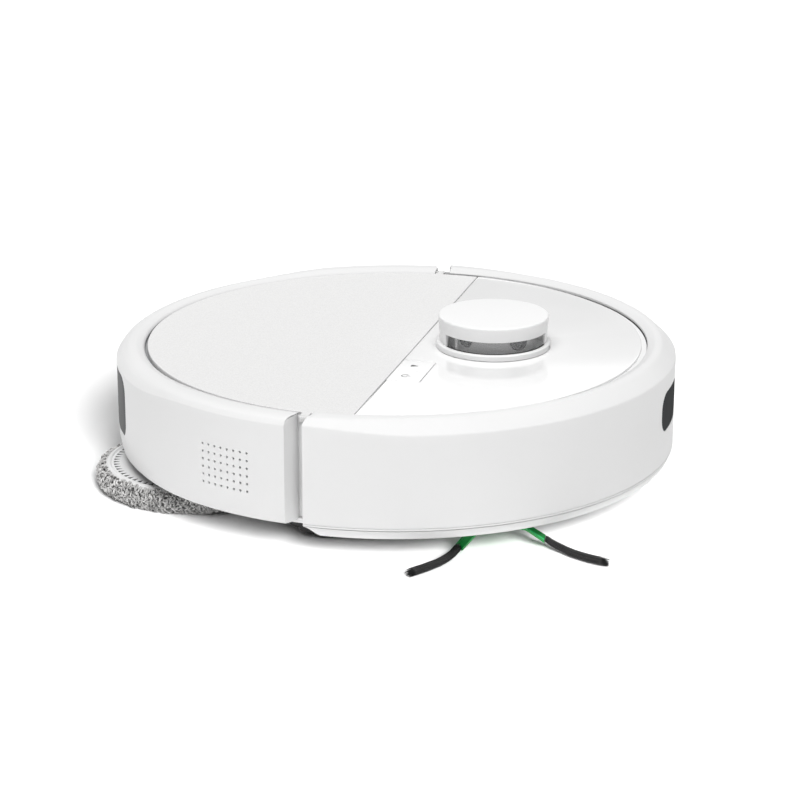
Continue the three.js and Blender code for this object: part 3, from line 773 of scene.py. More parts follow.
def make_rear_shell():
    """Rear half of the wall with its dark window and the speaker grille."""
    wall = np.array([(173.6, 24.0), (174.6, 30.0), (174.85, 35.0), (175.0, 40.0), (175.0, 76.2)])
    pitch = 10.6 / 7
    first = 180 - 115.0 - pitch / 2
    last = 180 - 104.4 + pitch / 2
    cell = (60.2 - 36.8) / 5
    z_low, z_high = 36.8 - cell / 2, 60.2 + cell / 2
    heights = np.concatenate([np.linspace(24, 28.9, 4), [29.2], [z_low],
                              np.linspace(z_low, z_high, 25)[1:],
                              np.linspace(z_high, 75.7, 8)[1:]])
    side_wall = np.array([(174.9, 24.0), (175.0, 27.0), (175.0, 76.2)])
    foot, side_foot = np.array([(172.9, 21.05), (173.2, 22.3)]), np.array([(174.2, 21.05),
                                                                           (174.7, 22.0)])
    low_rest = [(162.8, 84.8), (158.4, 83.3), (157.3, 81.9), (157.5, 80.6), (161.8, 82.6)]
    full = [(175, 76.5), (171.6, 81.5), (167.4, 84.1), *low_rest, (166, 82.3), (170, 79.6),
            (172.5, 75.8),
            (172.5, 40), (172.0, 30), (170.4, 21)]
    slim = [(175, 80.4), (173.2, 84.2), (169.6, 85.3), (163.2, 85.4), (158.4, 83.9), (157.2, 82.6),
            (157.4, 81.2),
            (161.8, 83.2), (168.6, 83.0), (171.6, 81.4), (172.5, 78.6), (172.5, 40), (172.0, 30),
            (170.4, 21)]
    reach = [0.4, 1.6, 1.6, 1.6, 1.2, 0.6, 0.4, 1.0, 1.2, 1.2, 1.2, 0.5, 0.5, 0.2]
    full = section_of(foot, wall_rows(heights, wall), full, reach)
    slim = section_of(side_foot, wall_rows(heights, side_wall), slim, reach)
    limit = np.degrees(np.arccos(19.5 / BODY_R))
    azimuths = line_rows(-limit, limit, [(-35.6, 35.6), (first, last)], [96, 32])
    weight = smooth(np.abs(azimuths), 60, 40)[:, None, None]
    shell = Shell(180, (19.5, 14.5), azimuths, slim * (1 - weight) + full * weight, (160.7, 0.0))
    for s in (-1, 1):
        arc_block(shell.shape, 161.2, (162.6, 162.6), (21.9, 83.4), s * 91.1, s * 95.3, (0, 0), 6)

    middle = np.array([0.0, 54.9])
    pane = lambda toward, grow: ray_outline(toward, (104.2 + grow, 19.1 + grow), 10 + grow)
    at = lambda a: int(np.argmin(abs(azimuths - a)))
    up = lambda h: len(foot) + int(np.argmin(abs(heights - h)))
    scales = [(s, 0.3, 2.0, 1) for s in np.linspace(0.9, 0, 9)]
    toward = shell.opening((at(-35.6), at(35.6)), (up(29.2), up(75.7)), middle, pane,
                           [(1, 0.45, 0.0, 0), (1, 0.3, 0.2, 0), (1, 0.3, 2.0, 1), *scales], wall)

    hole = lambda toward, grow: toward / np.linalg.norm(toward, axis=1,
                                                        keepdims=True) * (0.8 + grow)
    i0, j0 = at(first), up(z_low)
    # Each grille hole is a 0.95 mm deep pocket with a grey floor: painted shade standing for the
    # dark cavity behind a through hole.
    for a in range(8):
        for b in range(6):
            spot = np.array([np.radians(first + pitch * (a + 0.5)) * BODY_R,
                             z_low + cell * (b + 0.5)])
            shell.opening((i0 + 4 * a, i0 + 4 * a + 4), (j0 + 4 * b, j0 + 4 * b + 4), spot, hole,
                          [(1, 0.12, 0.0, 0), (1, 0.0, 0.12, 0), (1, 0.0, 0.95, 0),
                           (0, 0.0, 0.95, 2)],
                          side_wall)
    piece("rear_shell_moulding", shell.finish(), "chassis",
          "white dark inner", "rear_shell")
    glass = window_glass(shell, toward, middle, pane, wall, 0.1, 1.7)
    piece("rear_sensor_window", glass, "chassis", "rear_window", "rear_window")


def make_trim():
    """The skirt under the bumper, swept over the front half. Its foot rises by 5.6 mm over the
    last 8.5 mm at each end, in step with the distance behind the middle."""
    section = soft_line([(171.3, 14.9), (173.6, 17.9), (174.6, 20.7), (171.8, 20.7), (171.0, 18.2),
                         (169.6, 15.6)],
                        [0.4, 1.2, 0.25, 0.25, 0.8, 0.3], 5, True)
    radius, height = section[:, 0], section[:, 1]
    angle = np.linspace(-1, 1, 241)[:, None] * np.arccos(-8.4 / radius)
    rise = 5.6 * np.clip(-radius * np.cos(angle) / 8.5, 0, 1) * (20.7 - height) / 6.3
    points = np.stack([radius * np.cos(angle), radius * np.sin(angle), height + rise], -1)
    shape = Shape()
    shape.lattice(points, around=True)
    for k in (0, -1):
        shape.add(points[k], cut(section))
    piece("bumper_skirt", shape, "bumper", "white", "bumper_trim")


# ---------------------------------------------------------------- lid, deck and keys
def make_lid():
    """The rear cover: a circle cut by the straight joint, with a tab at each side."""
    start = np.degrees(np.arccos((LID_LINE - 0.3) / LID_R))
    tab_in, tab_out = (np.degrees(np.arccos(x / LID_R)) for x in (-8.6, -13.9))
    half = np.vstack([arc(LID_R, start, tab_in, 24), [(-8.6, 163.2), (-8.9, 163.5)],
                      [(-13.6, 163.5), (-13.9, 163.2)], arc(LID_R, tab_out, 180, 120)[:-1]])
    outline = np.vstack([half, [(-LID_R, 0)], half[::-1] * [1, -1]])
    shape = Shape()
    shape.slab(outline, (), (DECK_Z - 3.5, DECK_Z), 0.7, 0.3)
    piece("lid_cover", shape, "lid", "cover", "lid_panel", 40)


def make_deck():
    """Glossy front deck with its notch for the keys and its hole for the turret."""
    shift = 2.2
    limit = np.degrees(np.arccos((LID_LINE + 0.3 + shift) / LID_R))
    rim = arc(LID_R, -limit, limit, 150, (-shift, 0))
    (x0, x1), (y0, _), _ = spans("button_power")
    x1, y0, y1 = x1 + 0.4, y0 - 0.4, spans("button_spot")[1][1] + 0.4
    notch = soft_line([rim[-1], (x0, y1), (x1, y1), (x1, y0), (x0, y0), rim[0]],
                      [0, 0.3, 1.5, 1.5, 0.3, 0], 6)
    hub = centre("turret_cover")[:2]
    shape = Shape()
    shape.slab(np.vstack([rim, notch[1:-1]]), [round_loop(9, hub)], (DECK_Z - 3.5, DECK_Z), 0.4,
               0.3)
    arc_block(shape, LID_R + 0.05, (158.9, 158.9), (80.1, 82.0), -82.5, 82.5, (-shift, 0), 120, 1)
    piece("front_deck", shape, "chassis", "deck white",
          "top_deck", 40)


def make_keys():
    """Two keys, one marked with a ring and a bar, the other with a drop."""
    for node, body in (("button_power", "power_key"), ("button_spot", "spot_key")):
        x, y, z = spans(node)
        shape = Shape()
        shape.slab(box_loop(x, y, 0.9), (), z, 0.35, 0.2)
        piece(node + "_cap", shape, body, "deck", node, 40)
        mark = Shape()
        spot = np.array([sum(x) / 2 - 0.9, sum(y) / 2])
        top = (DECK_Z - 0.02, DECK_Z + 0.05)
        if node == "button_power":
            ring = np.vstack([arc(2.5, 50, 310, 40), arc(1.9, 310, 50, 40)]) + spot
            mark.slab(ring, (), top, 0.02, 0.01)
            mark.slab(box_loop((0.6, 3.1), (-0.3, 0.3), 0.2) + spot, (), top, 0.02, 0.01)
        else:
            drop = soft_line([(2.9, 0.0), (-1.9, 2.3), (-1.9, -2.3)], [0.5, 1.9, 1.9], 10, True)
            mark.slab(drop + spot, (), top, 0.02, 0.01)
        piece(node + "_mark", mark, body, "ink")


# ---------------------------------------------------------------- laser turret
def arc_block(shape, inner, outer, z, start, end, middle, count=24, look=0):
    """A block between two azimuths in degrees. Its outer radius runs from the first value of
    `outer` at the bottom to the second at the top."""
    a = np.radians(np.linspace(start, end, count))[:, None]
    h = np.linspace(z[0], z[1], 5)[None]
    grids = [np.stack([middle[0] + r * np.cos(a), middle[1] + r * np.sin(a), h + 0 * a], -1)
             for r in (np.linspace(*outer, 5)[None], np.full((1, 5), inner))]
    shape.sheet(*grids, look=look)


def make_turret():
    """Laser turret: cap, pane, foot ring, posts and the spinning head."""
    top = spans("turret_cover")[2][1]
    middle = np.array([*centre("turret_cover")[:2], 0.0])
    slot_r = CAP_FOOT_R + 0.59
    cap = soft_line([(0, top), (CAP_R - 0.6, top - 0.3), (CAP_R, top - 1.1), (slot_r, 95.2),
                     (31.9, 95.2),
                     (31.9, top - 3.2), (0, top - 2.8)], [0, 0.6, 0.7, 0.25, 0.2, 0.5, 0], 9)
    foot = soft_line([(TURRET_RING_R, 83.95), (TURRET_RING_R, 86.9), (TURRET_RING_R - 0.6, 87.45),
                      (31.9, 87.45),
                      (31.9, 83.95)], [0.2, 0.5, 0.3, 0.2, 0.2], 5, True)
    shape = Shape()
    shape.turned(cap, middle, 144)
    shape.turned(foot, middle, 144, closed=True)
    for start, end, count in ((-5, 5, 9), (138, 222, 32)):
        arc_block(shape, 31.9, (CAP_FOOT_R, slot_r), (87.4, 95.25), start, end, middle, count)
    arc_block(shape, 30.2, (31.4, 31.4), (86, 97), -125, -122.5, middle, 4)
    gasket = soft_line([(32.0, 87.4), (32.95, 87.4), (32.95, 87.85), (32.0, 87.85)], 0.1, 3, True)
    shape.turned(gasket, middle, 144, closed=True, look=1)
    for azimuth in (-166, -1):
        arc_block(shape, 35.0, (TURRET_RING_R + 0.05,) * 2, (84.6, 86.4), azimuth - 1.1,
                  azimuth + 1.1, middle, 4, 1)
    piece("turret_cap", shape, "chassis", "turret dark", "turret_cover")
    pane = soft_line([(32.2, 87.6), (32.8, 87.6), (32.8, 95.15), (32.2, 95.15)], 0.15, 3, True)
    shape = Shape()
    shape.turned(pane, middle, 96, closed=True)
    piece("turret_pane", shape, "chassis", "pane", "turret_window")
    rotor = soft_line([(0, 76), (6, 76), (6, 85), (ROTOR_R, 85), (ROTOR_R, 100.5), (20, 100.5),
                       (19, 99.7), (0, 99.7)],
                      [0, 0.4, 0.3, 0.8, 1.4, 0.4, 0.4, 0], 5)
    shape = Shape()
    shape.turned(rotor, middle, 120)
    piece("laser_drum", shape, "laser_head", "rotor", "lidar_rotor")
    for node, radius in (("lidar_lens_emitter", 4.6), ("lidar_lens_receiver", 6.2)):
        spot = centre(node)
        out = spot[:2] - middle[:2]
        out = np.array([*out / np.linalg.norm(out), 0.0])
        axes = np.stack([np.cross([0, 0, 1.0], out), [0, 0, 1.0], out], 1)
        dome = soft_line([(0, -0.65), (radius, -0.65), (radius, 0.35), (radius - 0.9, 0.6),
                          (radius - 1.3, 0.15), (radius * 0.5, 0.45), (0, 0.6)],
                         [0, 0.1, 0.3, 0.3, 0.3, 1.0, 0], 6)
        shape = Shape()
        shape.turned(dome, spot, 48, frame=axes)
        piece(node + "_dome", shape, "laser_head", "glass", node)


# ---------------------------------------------------------------- mops
def mop_curls(middle, seed):
    """Loops of yarn over a pad: roots on a ring lattice over the side and the underside, each
    centre line root + along (t - 1/2) L + out h sin(pi t) + across w sin(2 pi t)."""
    rng = np.random.default_rng(seed)
    rows = []
    profile = [(59.2, 12.6, 1.0, 0.4), (60.6, 11.8, 0.75, 0.7), (61.5, 10.6, 0.35, 0.95),
               (61.9, 9.2, 0.1, 1),
               (62.1, 7.8, 0.0, 1), (61.9, 6.4, -0.1, 1), (61.3, 5.1, -0.3, 0.95),
               (60.2, 3.9, -0.6, 0.8),
               (58.7, 2.9, -0.85, 0.5)]
    for radius, height, up, out in profile:
        count = int(2 * np.pi * radius / 1.3)
        rows.append(np.stack([np.full(count, radius), np.full(count, height), np.full(count, up),
                              np.full(count, out), np.arange(count) / count * 2 * np.pi], 1))
    for radius in np.arange(3.0, 58, 3.1):
        count = max(6, int(2 * np.pi * radius / 3.1))
        rows.append(np.stack([np.full(count, radius), np.full(count, 2.2), np.full(count, -1.0),
                              np.zeros(count), np.arange(count) / count * 2 * np.pi], 1))
    r, z, up, out, a = np.vstack(rows).T
    n = len(r)
    a = a + rng.normal(0, 0.8, n) / r
    r = r + rng.normal(0, 0.35, n)
    z = z + rng.normal(0, 0.3, n)
    radial = np.stack([np.cos(a), np.sin(a), 0 * a], 1)
    around = np.stack([-np.sin(a), np.cos(a), 0 * a], 1)
    normal = radial * out[:, None] + np.array([0, 0, 1.0]) * up[:, None]
    normal /= np.linalg.norm(normal, axis=1, keepdims=True)
    second = np.cross(normal, around)
    turn = rng.uniform(0, 2 * np.pi, n)[:, None]
    along = around * np.cos(turn) + second * np.sin(turn)
    across = np.cross(normal, along)
    size = rng.uniform(0.8, 1.3, n)[:, None, None]
    t = np.linspace(0, 1, 8)[None, :, None]
    under = (up < -0.9)[:, None, None]
    root = np.stack([r * np.cos(a), r * np.sin(a), z], 1)[:, None]
    line = (root + along[:, None] * (t - 0.5) * 2.7 * size
            + normal[:, None] * np.sin(np.pi * t) * np.where(under, 1.2, 2.1) * size
            + across[:, None] * np.sin(2 * np.pi * t + turn[:, None]) * 0.9 * size)
    radius = np.where(under[..., 0], 0.74, 0.46) * size[..., 0] * np.ones((1, 8))
    line[..., 2] = np.maximum(line[..., 2], 0.06 + radius)
    tone = np.where(rng.uniform(0, 1, n) < 0.12, 0.15, rng.uniform(0.45, 1.0, n))
    return line + [middle[0], middle[1], 0], radius, tone


def make_mop(side, seed):
    """A round pad covered with curled yarn, and its toothed plate."""
    middle = centre("mop_plate_" + side)
    high = spans("mop_pad_" + side)[2][1]
    core = soft_line([(0, 1.6), (57, 1.6), (60.8, 4.2), (61.7, 8.0), (60.6, 12.0), (58, high),
                      (0, high)],
                     [0, 4, 2, 2, 2, 1.5, 0], 7)
    shape = Shape()
    first = shape.turned(core, (middle[0], middle[1], 0), 96)
    # The pad body under the loops gets a dark tone: painted shade between the loops.
    shape.tones[-1] = np.full(first.size, 0.12)
    line, radius, tone = mop_curls(middle, seed)
    shape.tubes(line, radius, 5, tone=tone)
    pad = piece("mop_fleece_" + side, shape, "mop_" + side, "fibre",
                "mop_pad_" + side, 180, merge=False)
    top = high + 0.3
    disc = soft_line([(0, top), (59.8, top), (59.8, top + 0.5), (58.0, top + 2.0),
                      (57.2, top + 2.4), (56.2, top + 2.3),
                      (55.5, top + 1.4), (30, top + 1.7), (26, top + 2.3), (9, top + 2.3),
                      (5.0, top + 3.4), (5.0, 23.6),
                      (0, 23.6)], [0, 0.2, 0.3, 0.8, 0.5, 0.5, 0.5, 2, 2, 1, 0.8, 0.4, 0], 6)
    shape = Shape()
    shape.turned(disc, (middle[0], middle[1], 0), 120)
    a = np.radians(np.arange(72) * 5.0)[:, None]
    tooth = np.array([(53.9, -1.2), (50.2, 0.0), (53.9, 1.2)])
    x = tooth[:, 0] * np.cos(a) - tooth[:, 1] * np.sin(a) + middle[0]
    y = tooth[:, 0] * np.sin(a) + tooth[:, 1] * np.cos(a) + middle[1]
    points = np.concatenate([np.stack([x, y, top + h + 0 * x], -1) for h in (1.1, 1.53)], 1)
    start = (np.arange(72) * 6)[:, None, None]
    base = shape.add(points, (np.array([(0, 2, 1), (3, 4, 5)]) + start).reshape(-1, 3), 1)
    sides = np.array([(0, 1, 4, 3), (1, 2, 5, 4), (2, 0, 3, 5)])
    shape.join((sides + start).reshape(-1, 4) + base, 1)
    piece("mop_disc_" + side, shape, "mop_" + side, "white dark",
          "mop_plate_" + side)


# ---------------------------------------------------------------- side brush
def make_side_brush():
    """Three arms with soft ridges, each with a tuft of splayed bristles."""
    hub = centre("side_brush_motor")[:2]
    shape = Shape()
    dome = soft_line([(0, 10.5), (7, 10.5), (11, 11.6), (11, 15.6), (8, 17.6), (3, 17.6), (3, 26),
                      (0, 26)],
                     [0, 2, 2, 1.5, 1, 0.3, 0.3, 0], 6)
    shape.turned(dome, (*hub, 0), 48)
    screw = soft_line([(0, 10.0), (2.6, 10.0), (3.0, 10.55), (0, 10.55)], [0, 0.2, 0.1, 0], 4)
    shape.turned(screw, (*hub, 0), 24, look=2)
    lengths = np.array([5.0, 10.0, 16.0, 19.0, 21.5, 25.0, 28.0, 30.0])
    ridge = np.interp(lengths, [5, 20.5, 30], [16.0, 13.2, 8.1])
    belly = np.interp(lengths, [5, 19, 30], [11.4, 10.6, 3.7])
    trails = ((0, 2.8, 4.2, 4.4, 3.6), (0, -5.2, -11.6, -16.4, -18.3), (0, -1.2, -2.6, -3.8, -5))
    half = np.interp(lengths, [5, 14, 26, 30], [4.4, 3.7, 3.4, 3.1])
    ring = np.array([(-1, 0.12), (-1, 0.55), (-0.82, 0.68), (0.1, 1.0), (0.78, 0.62), (1, 0.5),
                     (1, 0.12), (0.6, 0), (-0.6, 0)])
    for k in range(3):
        turn = np.radians(-121.4 + 120 * k)
        along, aside = np.array([np.cos(turn), np.sin(turn)]), np.array([-np.sin(turn),
                                                                         np.cos(turn)])
        plan = hub + lengths[:, None, None] * along + (half[:, None] * ring[:, 0])[...,
                                                                                   None] * aside
        height = belly[:, None] + (ridge - belly)[:, None] * ring[:, 1]
        grid = np.concatenate([plan, height[..., None]], -1)
        shape.lattice(grid[:, 1:5], look=0)
        shape.lattice(grid[:, [4, 5, 6, 7, 8, 0, 1]], look=0)
        # The paler green strip along this upper edge of the arm is a painted highlight.
        shape.lattice(grid[:, 1:3] + [0, 0, 0.02], look=1)
        for end in (0, -1):
            shape.close(grid[end])
        bristles = Shape()
        rng = np.random.default_rng(40 + k)
        n, t = 130, np.array([0, 0.05, 0.1, 0.17, 0.25, 0.35, 0.46, 0.58, 0.7, 0.85, 1.0])
        spot = np.sqrt(rng.uniform(0, 1, n))
        way = rng.uniform(0, 2 * np.pi, n)
        root = np.stack([spot * np.cos(way) * 2.6, spot * np.sin(way) * 2.0], 1)
        spread = root * 1.12 + rng.normal(0, 0.12, (n, 2))
        reach = (45.2, 41.8, 41.0)[k] + rng.normal(0, 0.12, n)
        out = 30.1 + t[None] * reach[:, None]
        bend = np.interp(out, [30, 40.5, 51, 62, 72], trails[k])
        off = root[:, :1] + (spread - root)[:, :1] * t[None] + bend
        middle = np.interp(out, [30, 34, 38, 44, 50, 71], [6.0, 4.7, 3.7, 3.0, 2.75, 2.6])
        up = np.maximum(middle + root[:, 1:] + (spread - root)[:, 1:] * t[None], 0.4)
        plan = hub + out[..., None] * along + off[..., None] * aside
        bristles.tubes(np.concatenate([plan, up[..., None]], -1), 0.22, 4,
                       tone=rng.uniform(0, 1, n))
        piece(f"bristle_tuft_{k + 1}", bristles, "side_brush", "bristle",
              f"side_bristles_{k + 1}", 180, merge=False)
    piece("side_brush_star", shape, "side_brush",
          "green green_light steel", "side_brush_arms", 20)


# ---------------------------------------------------------------- running gear
def axle(side=1):
    """Frame of a shape that is turned about the y axis and faces left (1) or right (-1)."""
    return np.array([(1, 0, 0), (0, 0, side), (0, 1, 0)])


def make_wheels():
    """Tyres with chevron lugs: the tread is 1.6 mm deep where sin(22 a + 0.68 |w|) is high."""
    for side, s in (("left", 1), ("right", -1)):
        x, y, z = centre("tyre_" + side)
        radius = spans("tyre_" + side)[2][1] / 2
        w = np.concatenate([[-9.0, -9.6], [-9.9], np.linspace(-9.4, 9.4, 19),
                            [9.9, 9.6, 9.0]])
        base = np.concatenate([[26.9, 30.0], [33.0],
                               radius - 0.9 * (np.abs(np.linspace(-1, 1, 19)) ** 6),
                               [33.0, 30.0, 26.9]])
        a = np.radians(np.arange(TREAD_STEPS) * 360 / TREAD_STEPS)[:, None]
        wave = np.sin(22 * a + 0.68 * np.abs(w)[None])
        lug = smooth(wave, -0.25, 0.15)
        tread = (base > 34)[None]
        r = base[None] - tread * TREAD_DEPTH * (1 - lug)
        grid = np.stack([x + r * np.cos(a), y + w[None] + 0 * a, z + r * np.sin(a)], -1)
        shape = Shape()
        shape.lattice(grid, across=True, around=True)
        piece("tread_tyre_" + side, shape, "wheel_" + side, "rubber", "tyre_" + side)
        hub = soft_line([(0, 8.2), (6, 8.2), (7, 7.0), (12, 5.4), (20, 5.8), (22.5, 8.6),
                         (26.7, 8.6), (26.7, -8.8), (22.5, -8.8),
                         (20, -6), (8, -6), (7, -8.8), (0, -8.8)],
                        [0, 0.8, 0.8, 1, 1, 1, 0.5, 0.5, 1, 1, 1, 0.8, 0], 5)
        shape = Shape()
        shape.turned(hub, (x, y, z), 72, frame=axle(s))
        piece("wheel_disc_" + side, shape, "wheel_" + side, "dark",
              "wheel_hub_" + side)


def make_caster():
    """Grooved wheel of the caster."""
    x, y, z = centre("caster_wheel")
    ring = soft_line([(2.4, -6), (10.6, -6), (13, -3.2), (13, -0.7), (12.3, 0), (13, 0.7),
                      (13, 3.2), (10.6, 6), (2.4, 6)],
                     [0.3, 1.2, 1.6, 0.4, 0.4, 0.4, 1.6, 1.2, 0.3], 5, True)
    shape = Shape()
    shape.turned(ring, (x, y, z), 64, closed=True, frame=axle())
    piece("caster_tyre", shape, "caster_roller", "rubber", "caster_wheel")


def make_roller():
    """The main brush: radius = core + (tip - core) / (1 + (d / 0.17)^6), where d is the angle
    to the nearest of six fins, which sweep 0.9 rad from the ends to the middle."""
    x, y, z = centre("brush_roller")
    w = np.linspace(-74.5, 74.5, 111)[None]
    a = np.arange(252)[:, None] * 2 * np.pi / 252
    sweep = 0.9 * (1 - np.sqrt((w / 74.5) ** 2 + 0.001))
    d = np.abs((a + sweep + np.pi / 6) % (np.pi / 3) - np.pi / 6)
    r = 11.2 + 8.6 / (1 + (d / 0.17) ** 6)
    grid = np.stack([x + r * np.cos(a), y + w + 0 * a, z + r * np.sin(a)], -1)
    shape = Shape()
    shape.lattice(grid, across=True)
    for k, end in ((0, -74.5), (-1, 74.5)):
        shape.close(grid[:, k], [x, y + end, z])
    knob = soft_line([(0, 74), (13, 74), (13, 77), (11.5, 78), (6, 78), (5, 77.2), (0, 77.2)],
                     [0, 0.3, 0.6, 0.5, 0.4, 0.4, 0], 4)
    for s in (-1, 1):
        shape.turned(knob, (x, y, z), 48, frame=axle(s), look=1)
    piece("fin_roller", shape, "main_brush", "green dark", "brush_roller")


# ---------------------------------------------------------------- chassis
def make_base():
    """Base plate with its wells, the drum wall, the inner frame and the brush guard."""
    low, high = spans("base_plate")[2]
    cx, _, _ = centre("caster_fork")
    hub = centre("side_brush_motor")[:2]
    left, right = centre("mop_plate_left")[:2], centre("mop_plate_right")[:2]
    wells = [box_loop((-48, 50), (s * 118 - 25, s * 118 + 25), 6) for s in (1, -1)]
    holes = [box_loop((-1, 45), (-80, 80), 2.5), *wells, round_loop(21, (cx, 0)),
             round_loop(4, hub, 24),
             round_loop(6.5, left, 32), link_loop((left[0], -left[1]), 8, right, 8.1)]
    shape = Shape()
    shape.slab(round_loop(165, count=180), holes, (low, high), 0.4, 1.2)
    piece("floor_pan", shape, "chassis", "white_inner", "base_plate", 40)
    shape = Shape()
    rim = soft_line([(158, 21.8), (DRUM_R, 21.8), (DRUM_R, 75.2), (158, 75.2)], 0.4, 4, True)
    shape.turned(rim, (0, 0, 0), 240, closed=True)
    piece("drum_wall", shape, "chassis", "white_inner", "chassis_wall")
    shape = Shape()
    bays = []
    for node in ("dust_bin", "water_tank"):
        (x0, x1), (y0, y1), _ = spans(node)
        bays.append(box_loop((x0 - 0.6, x1 + 0.6), (y0 - 0.6, y1 + 0.6), 3.4))
    shape.slab(round_loop(DRUM_R, count=180), [*bays, round_loop(9, centre("turret_cover")[:2], 32)],
               spans("mid_frame")[2], 0.6, 0.3)
    piece("inner_deck", shape, "chassis", "inner", "mid_frame", 40)
    shape = Shape()
    z = spans("brush_cage")[2]
    shape.slab(box_loop((-8, 52), (-86, 86), 5), [box_loop((0, 44), (-80, 80), 2.5)], z, 0.3, 1.2)
    piece("brush_guard", shape, "chassis", "dark", "brush_cage", 40)


def make_underside():
    """Screws, sensor windows and charge pads on the floor pan."""
    screws = Shape()
    head = soft_line([(0, 17.45), (1.1, 17.45), (1.25, 17.0), (3.0, 17.25), (3.4, 17.9),
                      (3.4, 18.5), (0, 18.5)],
                     [0, 0.1, 0.1, 0.5, 0.3, 0.1, 0], 4)
    spots = [*arc(152, 52, 68, 2), *arc(152, -90, -75, 2), *arc(155, 170, 190, 2),
             *arc(150, 112, 140, 2),
             (60, 88), (60, -88), (-18, 86), (-18, -86), (84, 40), (84, -40), (-60, 0), (-150, 30),
             (-140, -20)]
    for spot in spots:
        screws.turned(head, (*spot, 0), 20)
    piece("pan_screws", screws, "chassis", "steel")
    for node, angle in (("front", 0), ("left", 34), ("right", -26)):
        name = "cliff_sensor_" + node
        a = np.radians(angle)
        turn = np.array([(np.cos(a), np.sin(a)), (-np.sin(a), np.cos(a))])
        flat = lambda loop: loop @ turn + 146.5 * turn[0]
        shape = Shape()
        shape.slab(flat(box_loop((-4.5, 4.5), (-10, 10), 2)), (), spans(name)[2], 0.2, 0.6)
        for y in (-4.6, 4.6):
            eye = soft_line([(0, 16.75), (2.0, 16.5), (2.6, 16.35), (3.0, 16.7), (0, 16.9)],
                            [0, 1, 0.2, 0.2, 0], 4)
            shape.turned(eye + [0, 0.3], (*flat(np.array([[0.0, y]]))[0], 0), 24, look=1)
        piece(name + "_window", shape, "chassis", "dark glass", name)
    for side in ("left", "right"):
        name = "charge_contact_" + side
        x, y, z = spans(name)
        shape = Shape()
        shape.slab(box_loop(x, y, 2.2), (), z, 0.2, 0.5)
        piece(name + "_pad", shape, "chassis", "steel", name, 40)


def cup(shape, x, y, z, wall, corner, look=0):
    """An open box with walls: a rim of loops goes up the outside, over and down the inside."""
    rim = np.array([(1.4, z[0]), (0.5, z[0] + 0.1), (0, z[0] + 0.9), (0, z[1] - 0.4), (0.4, z[1]),
                    (wall - 0.4, z[1]),
                    (wall, z[1] - 0.4), (wall, z[0] + wall + 0.6), (wall + 0.8, z[0] + wall)])
    loop = box_loop(x, y, corner)
    rings = np.stack([np.column_stack([inset(loop, d), np.full(len(loop), h)]) for d, h in rim])
    shape.lattice(rings, around=True, look=look)
    shape.caps([rings[0]], look)
    shape.caps([rings[-1]], look)


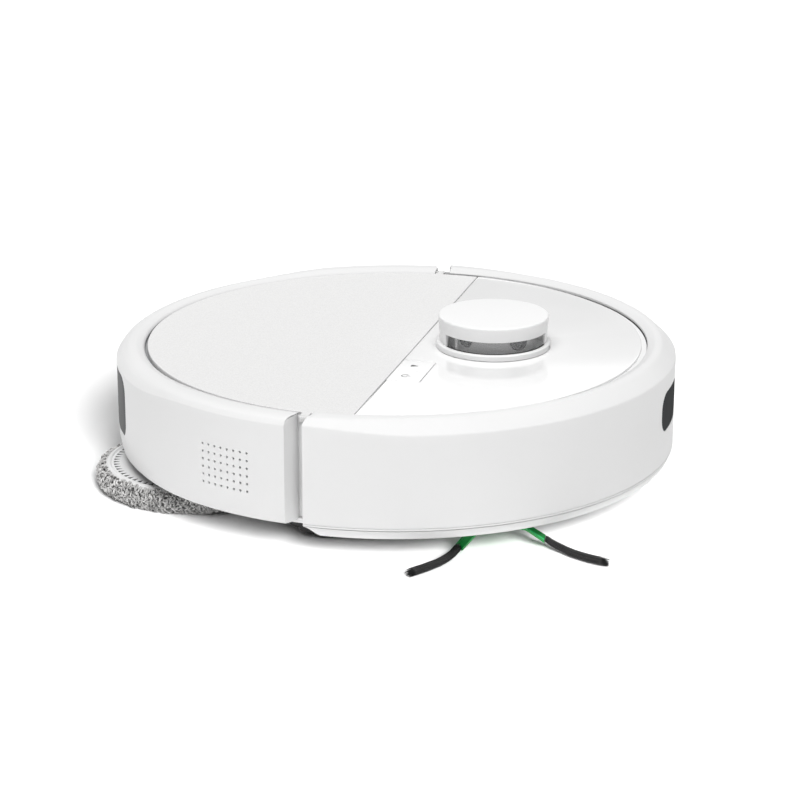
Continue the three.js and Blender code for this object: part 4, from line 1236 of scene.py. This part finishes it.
def make_bin():
    """Clear dust bin with its pleated filter and standing handle."""
    x, y, z = spans("dust_bin")
    shape = Shape()
    cup(shape, x, y, z, 2.0, 3.0)
    for px in np.linspace(x[0] + 16, x[1] - 16, 5):
        shape.slab(box_loop((px - 0.6, px + 0.6), (y[0] + 2.0, y[0] + 4.2), 0.4), (),
                   (z[0] + 3, z[1] - 8), 0.2, 0.1)
    piece("dust_cup", shape, "bin", "bin", "dust_bin", 40)
    x, y, z = spans("bin_filter")
    shape = Shape()
    fold = np.linspace(0, 1, 109)
    zig = 1.0 * np.abs((fold * 27) % 1 * 2 - 1)[:, None]
    py = (y[0] + 2 + (y[1] - y[0] - 4) * fold)[:, None]
    pz = np.linspace(z[0] + 2, z[1] - 2, 6)[None]
    grids = [np.stack([sign * (1.9 - zig) + sum(x) / 2 + 0 * pz, py + 0 * pz, pz + 0 * py],
                      -1) for sign in (-1, 1)]
    shape.sheet(*grids)
    box = Shape()
    frame_loop = box_loop((y[0], y[1]), (z[0], z[1]), 1.5)
    hole = box_loop((y[0] + 2, y[1] - 2), (z[0] + 2, z[1] - 2), 1.0)
    box.slab(frame_loop, [hole], (x[0], x[1]), 0.3, 0.3)
    box.points = [p[:, [2, 0, 1]] for p in box.points]
    shape.take(box, 1)
    piece("pleated_filter", shape, "bin", "paper dark", "bin_filter", 20)
    x, y, z = spans("bin_handle")
    path = soft_line([(x[0], y[0] + 1.5), (x[1] - 1.5, y[0] + 1.5), (x[1] - 1.5, y[1] - 1.5),
                      (x[0], y[1] - 1.5)],
                     [0, 7, 7, 0], 9)
    ahead = np.gradient(path, axis=0)
    ahead /= np.linalg.norm(ahead, axis=1, keepdims=True)
    aside = np.stack([-ahead[:, 1], ahead[:, 0]], 1)
    ring = soft_line([(-1.5, -1.5), (1.5, -1.5), (1.5, 1.5), (-1.5, 1.5)], 0.7, 5, True)
    plan = path[:, None] + aside[:, None] * ring[None, :, :1]
    grid = np.concatenate([plan, (sum(z) / 2 + ring[:, 1])[None, :, None] + 0 * plan[..., :1]], -1)
    shape = Shape()
    shape.lattice(grid, around=True)
    for k in (0, -1):
        shape.close(grid[k])
    piece("bin_bail_bar", shape, "bin_bail", "white", "bin_handle")
    x, y, z = spans("water_tank")
    shape = Shape()
    shape.slab(box_loop(x, y, 3.0), (), (z[0], z[1] - 0.4), 1.0, 1.2)
    plug = soft_line([(0, z[1]), (6.5, z[1]), (8, z[1] - 0.5), (8, z[1] - 1.0), (0, z[1] - 1.0)],
                     [0, 0.6, 0.4, 0.1, 0], 5)
    shape.turned(plug, (x[1] - 20, sum(y) / 2, 0), 48, look=1)
    piece("tank_body", shape, "chassis", "bin inner", "water_tank", 40)


def carry_over():
    """Pieces inside the body keep their modelled shape and get a finish."""
    carried = {
        "inner": ["lidar_base", "fan_housing", "wheel_arm_left", "wheel_arm_right", "mop_arm"],
        "dark": ["battery_pack", "speaker", "fan_impeller", "brush_tunnel", "caster_fork"],
        "steel": ["brush_motor", "side_brush_motor", "mop_motor_left", "mop_motor_right",
                  "wheel_motor_left", "wheel_motor_right", "caster_axle"],
        "board": ["main_board"],
    }
    for finish, nodes in carried.items():
        for node in nodes:
            mesh = frame["nodes"][node].data
            mesh.materials.clear()
            mesh.materials.append(finishes[finish])


def make_floor():
    """A wide plane with a slow change of tone. Returns the floor."""
    mesh = bpy.data.meshes.new("studio_floor")
    mesh.from_pydata([(-14, -14, 0), (14, -14, 0), (14, 14, 0), (-14, 14, 0)], [], [(0, 1, 2, 3)])
    m = Finish("studio_floor")
    mesh.materials.append(m.done(
        Base_Color=m.mix(m.noise(3.0), grey(0.80), grey(0.81)),
        Roughness=m.noise(30.0) * 0.05 + 0.8))
    floor = bpy.data.objects.new("studio_floor", mesh)
    bpy.context.scene.collection.objects.link(floor)
    return floor


# ---------------------------------------------------------------- build
make_camera()
make_studio(make_floor())
finishes = make_finishes()
make_bumper()
make_trim()
make_rear_shell()
make_lid()
make_deck()
make_keys()
make_turret()
make_mop("right", 11)
make_mop("left", 12)
make_side_brush()
make_wheels()
make_caster()
make_roller()
make_base()
make_underside()
make_bin()
carry_over()
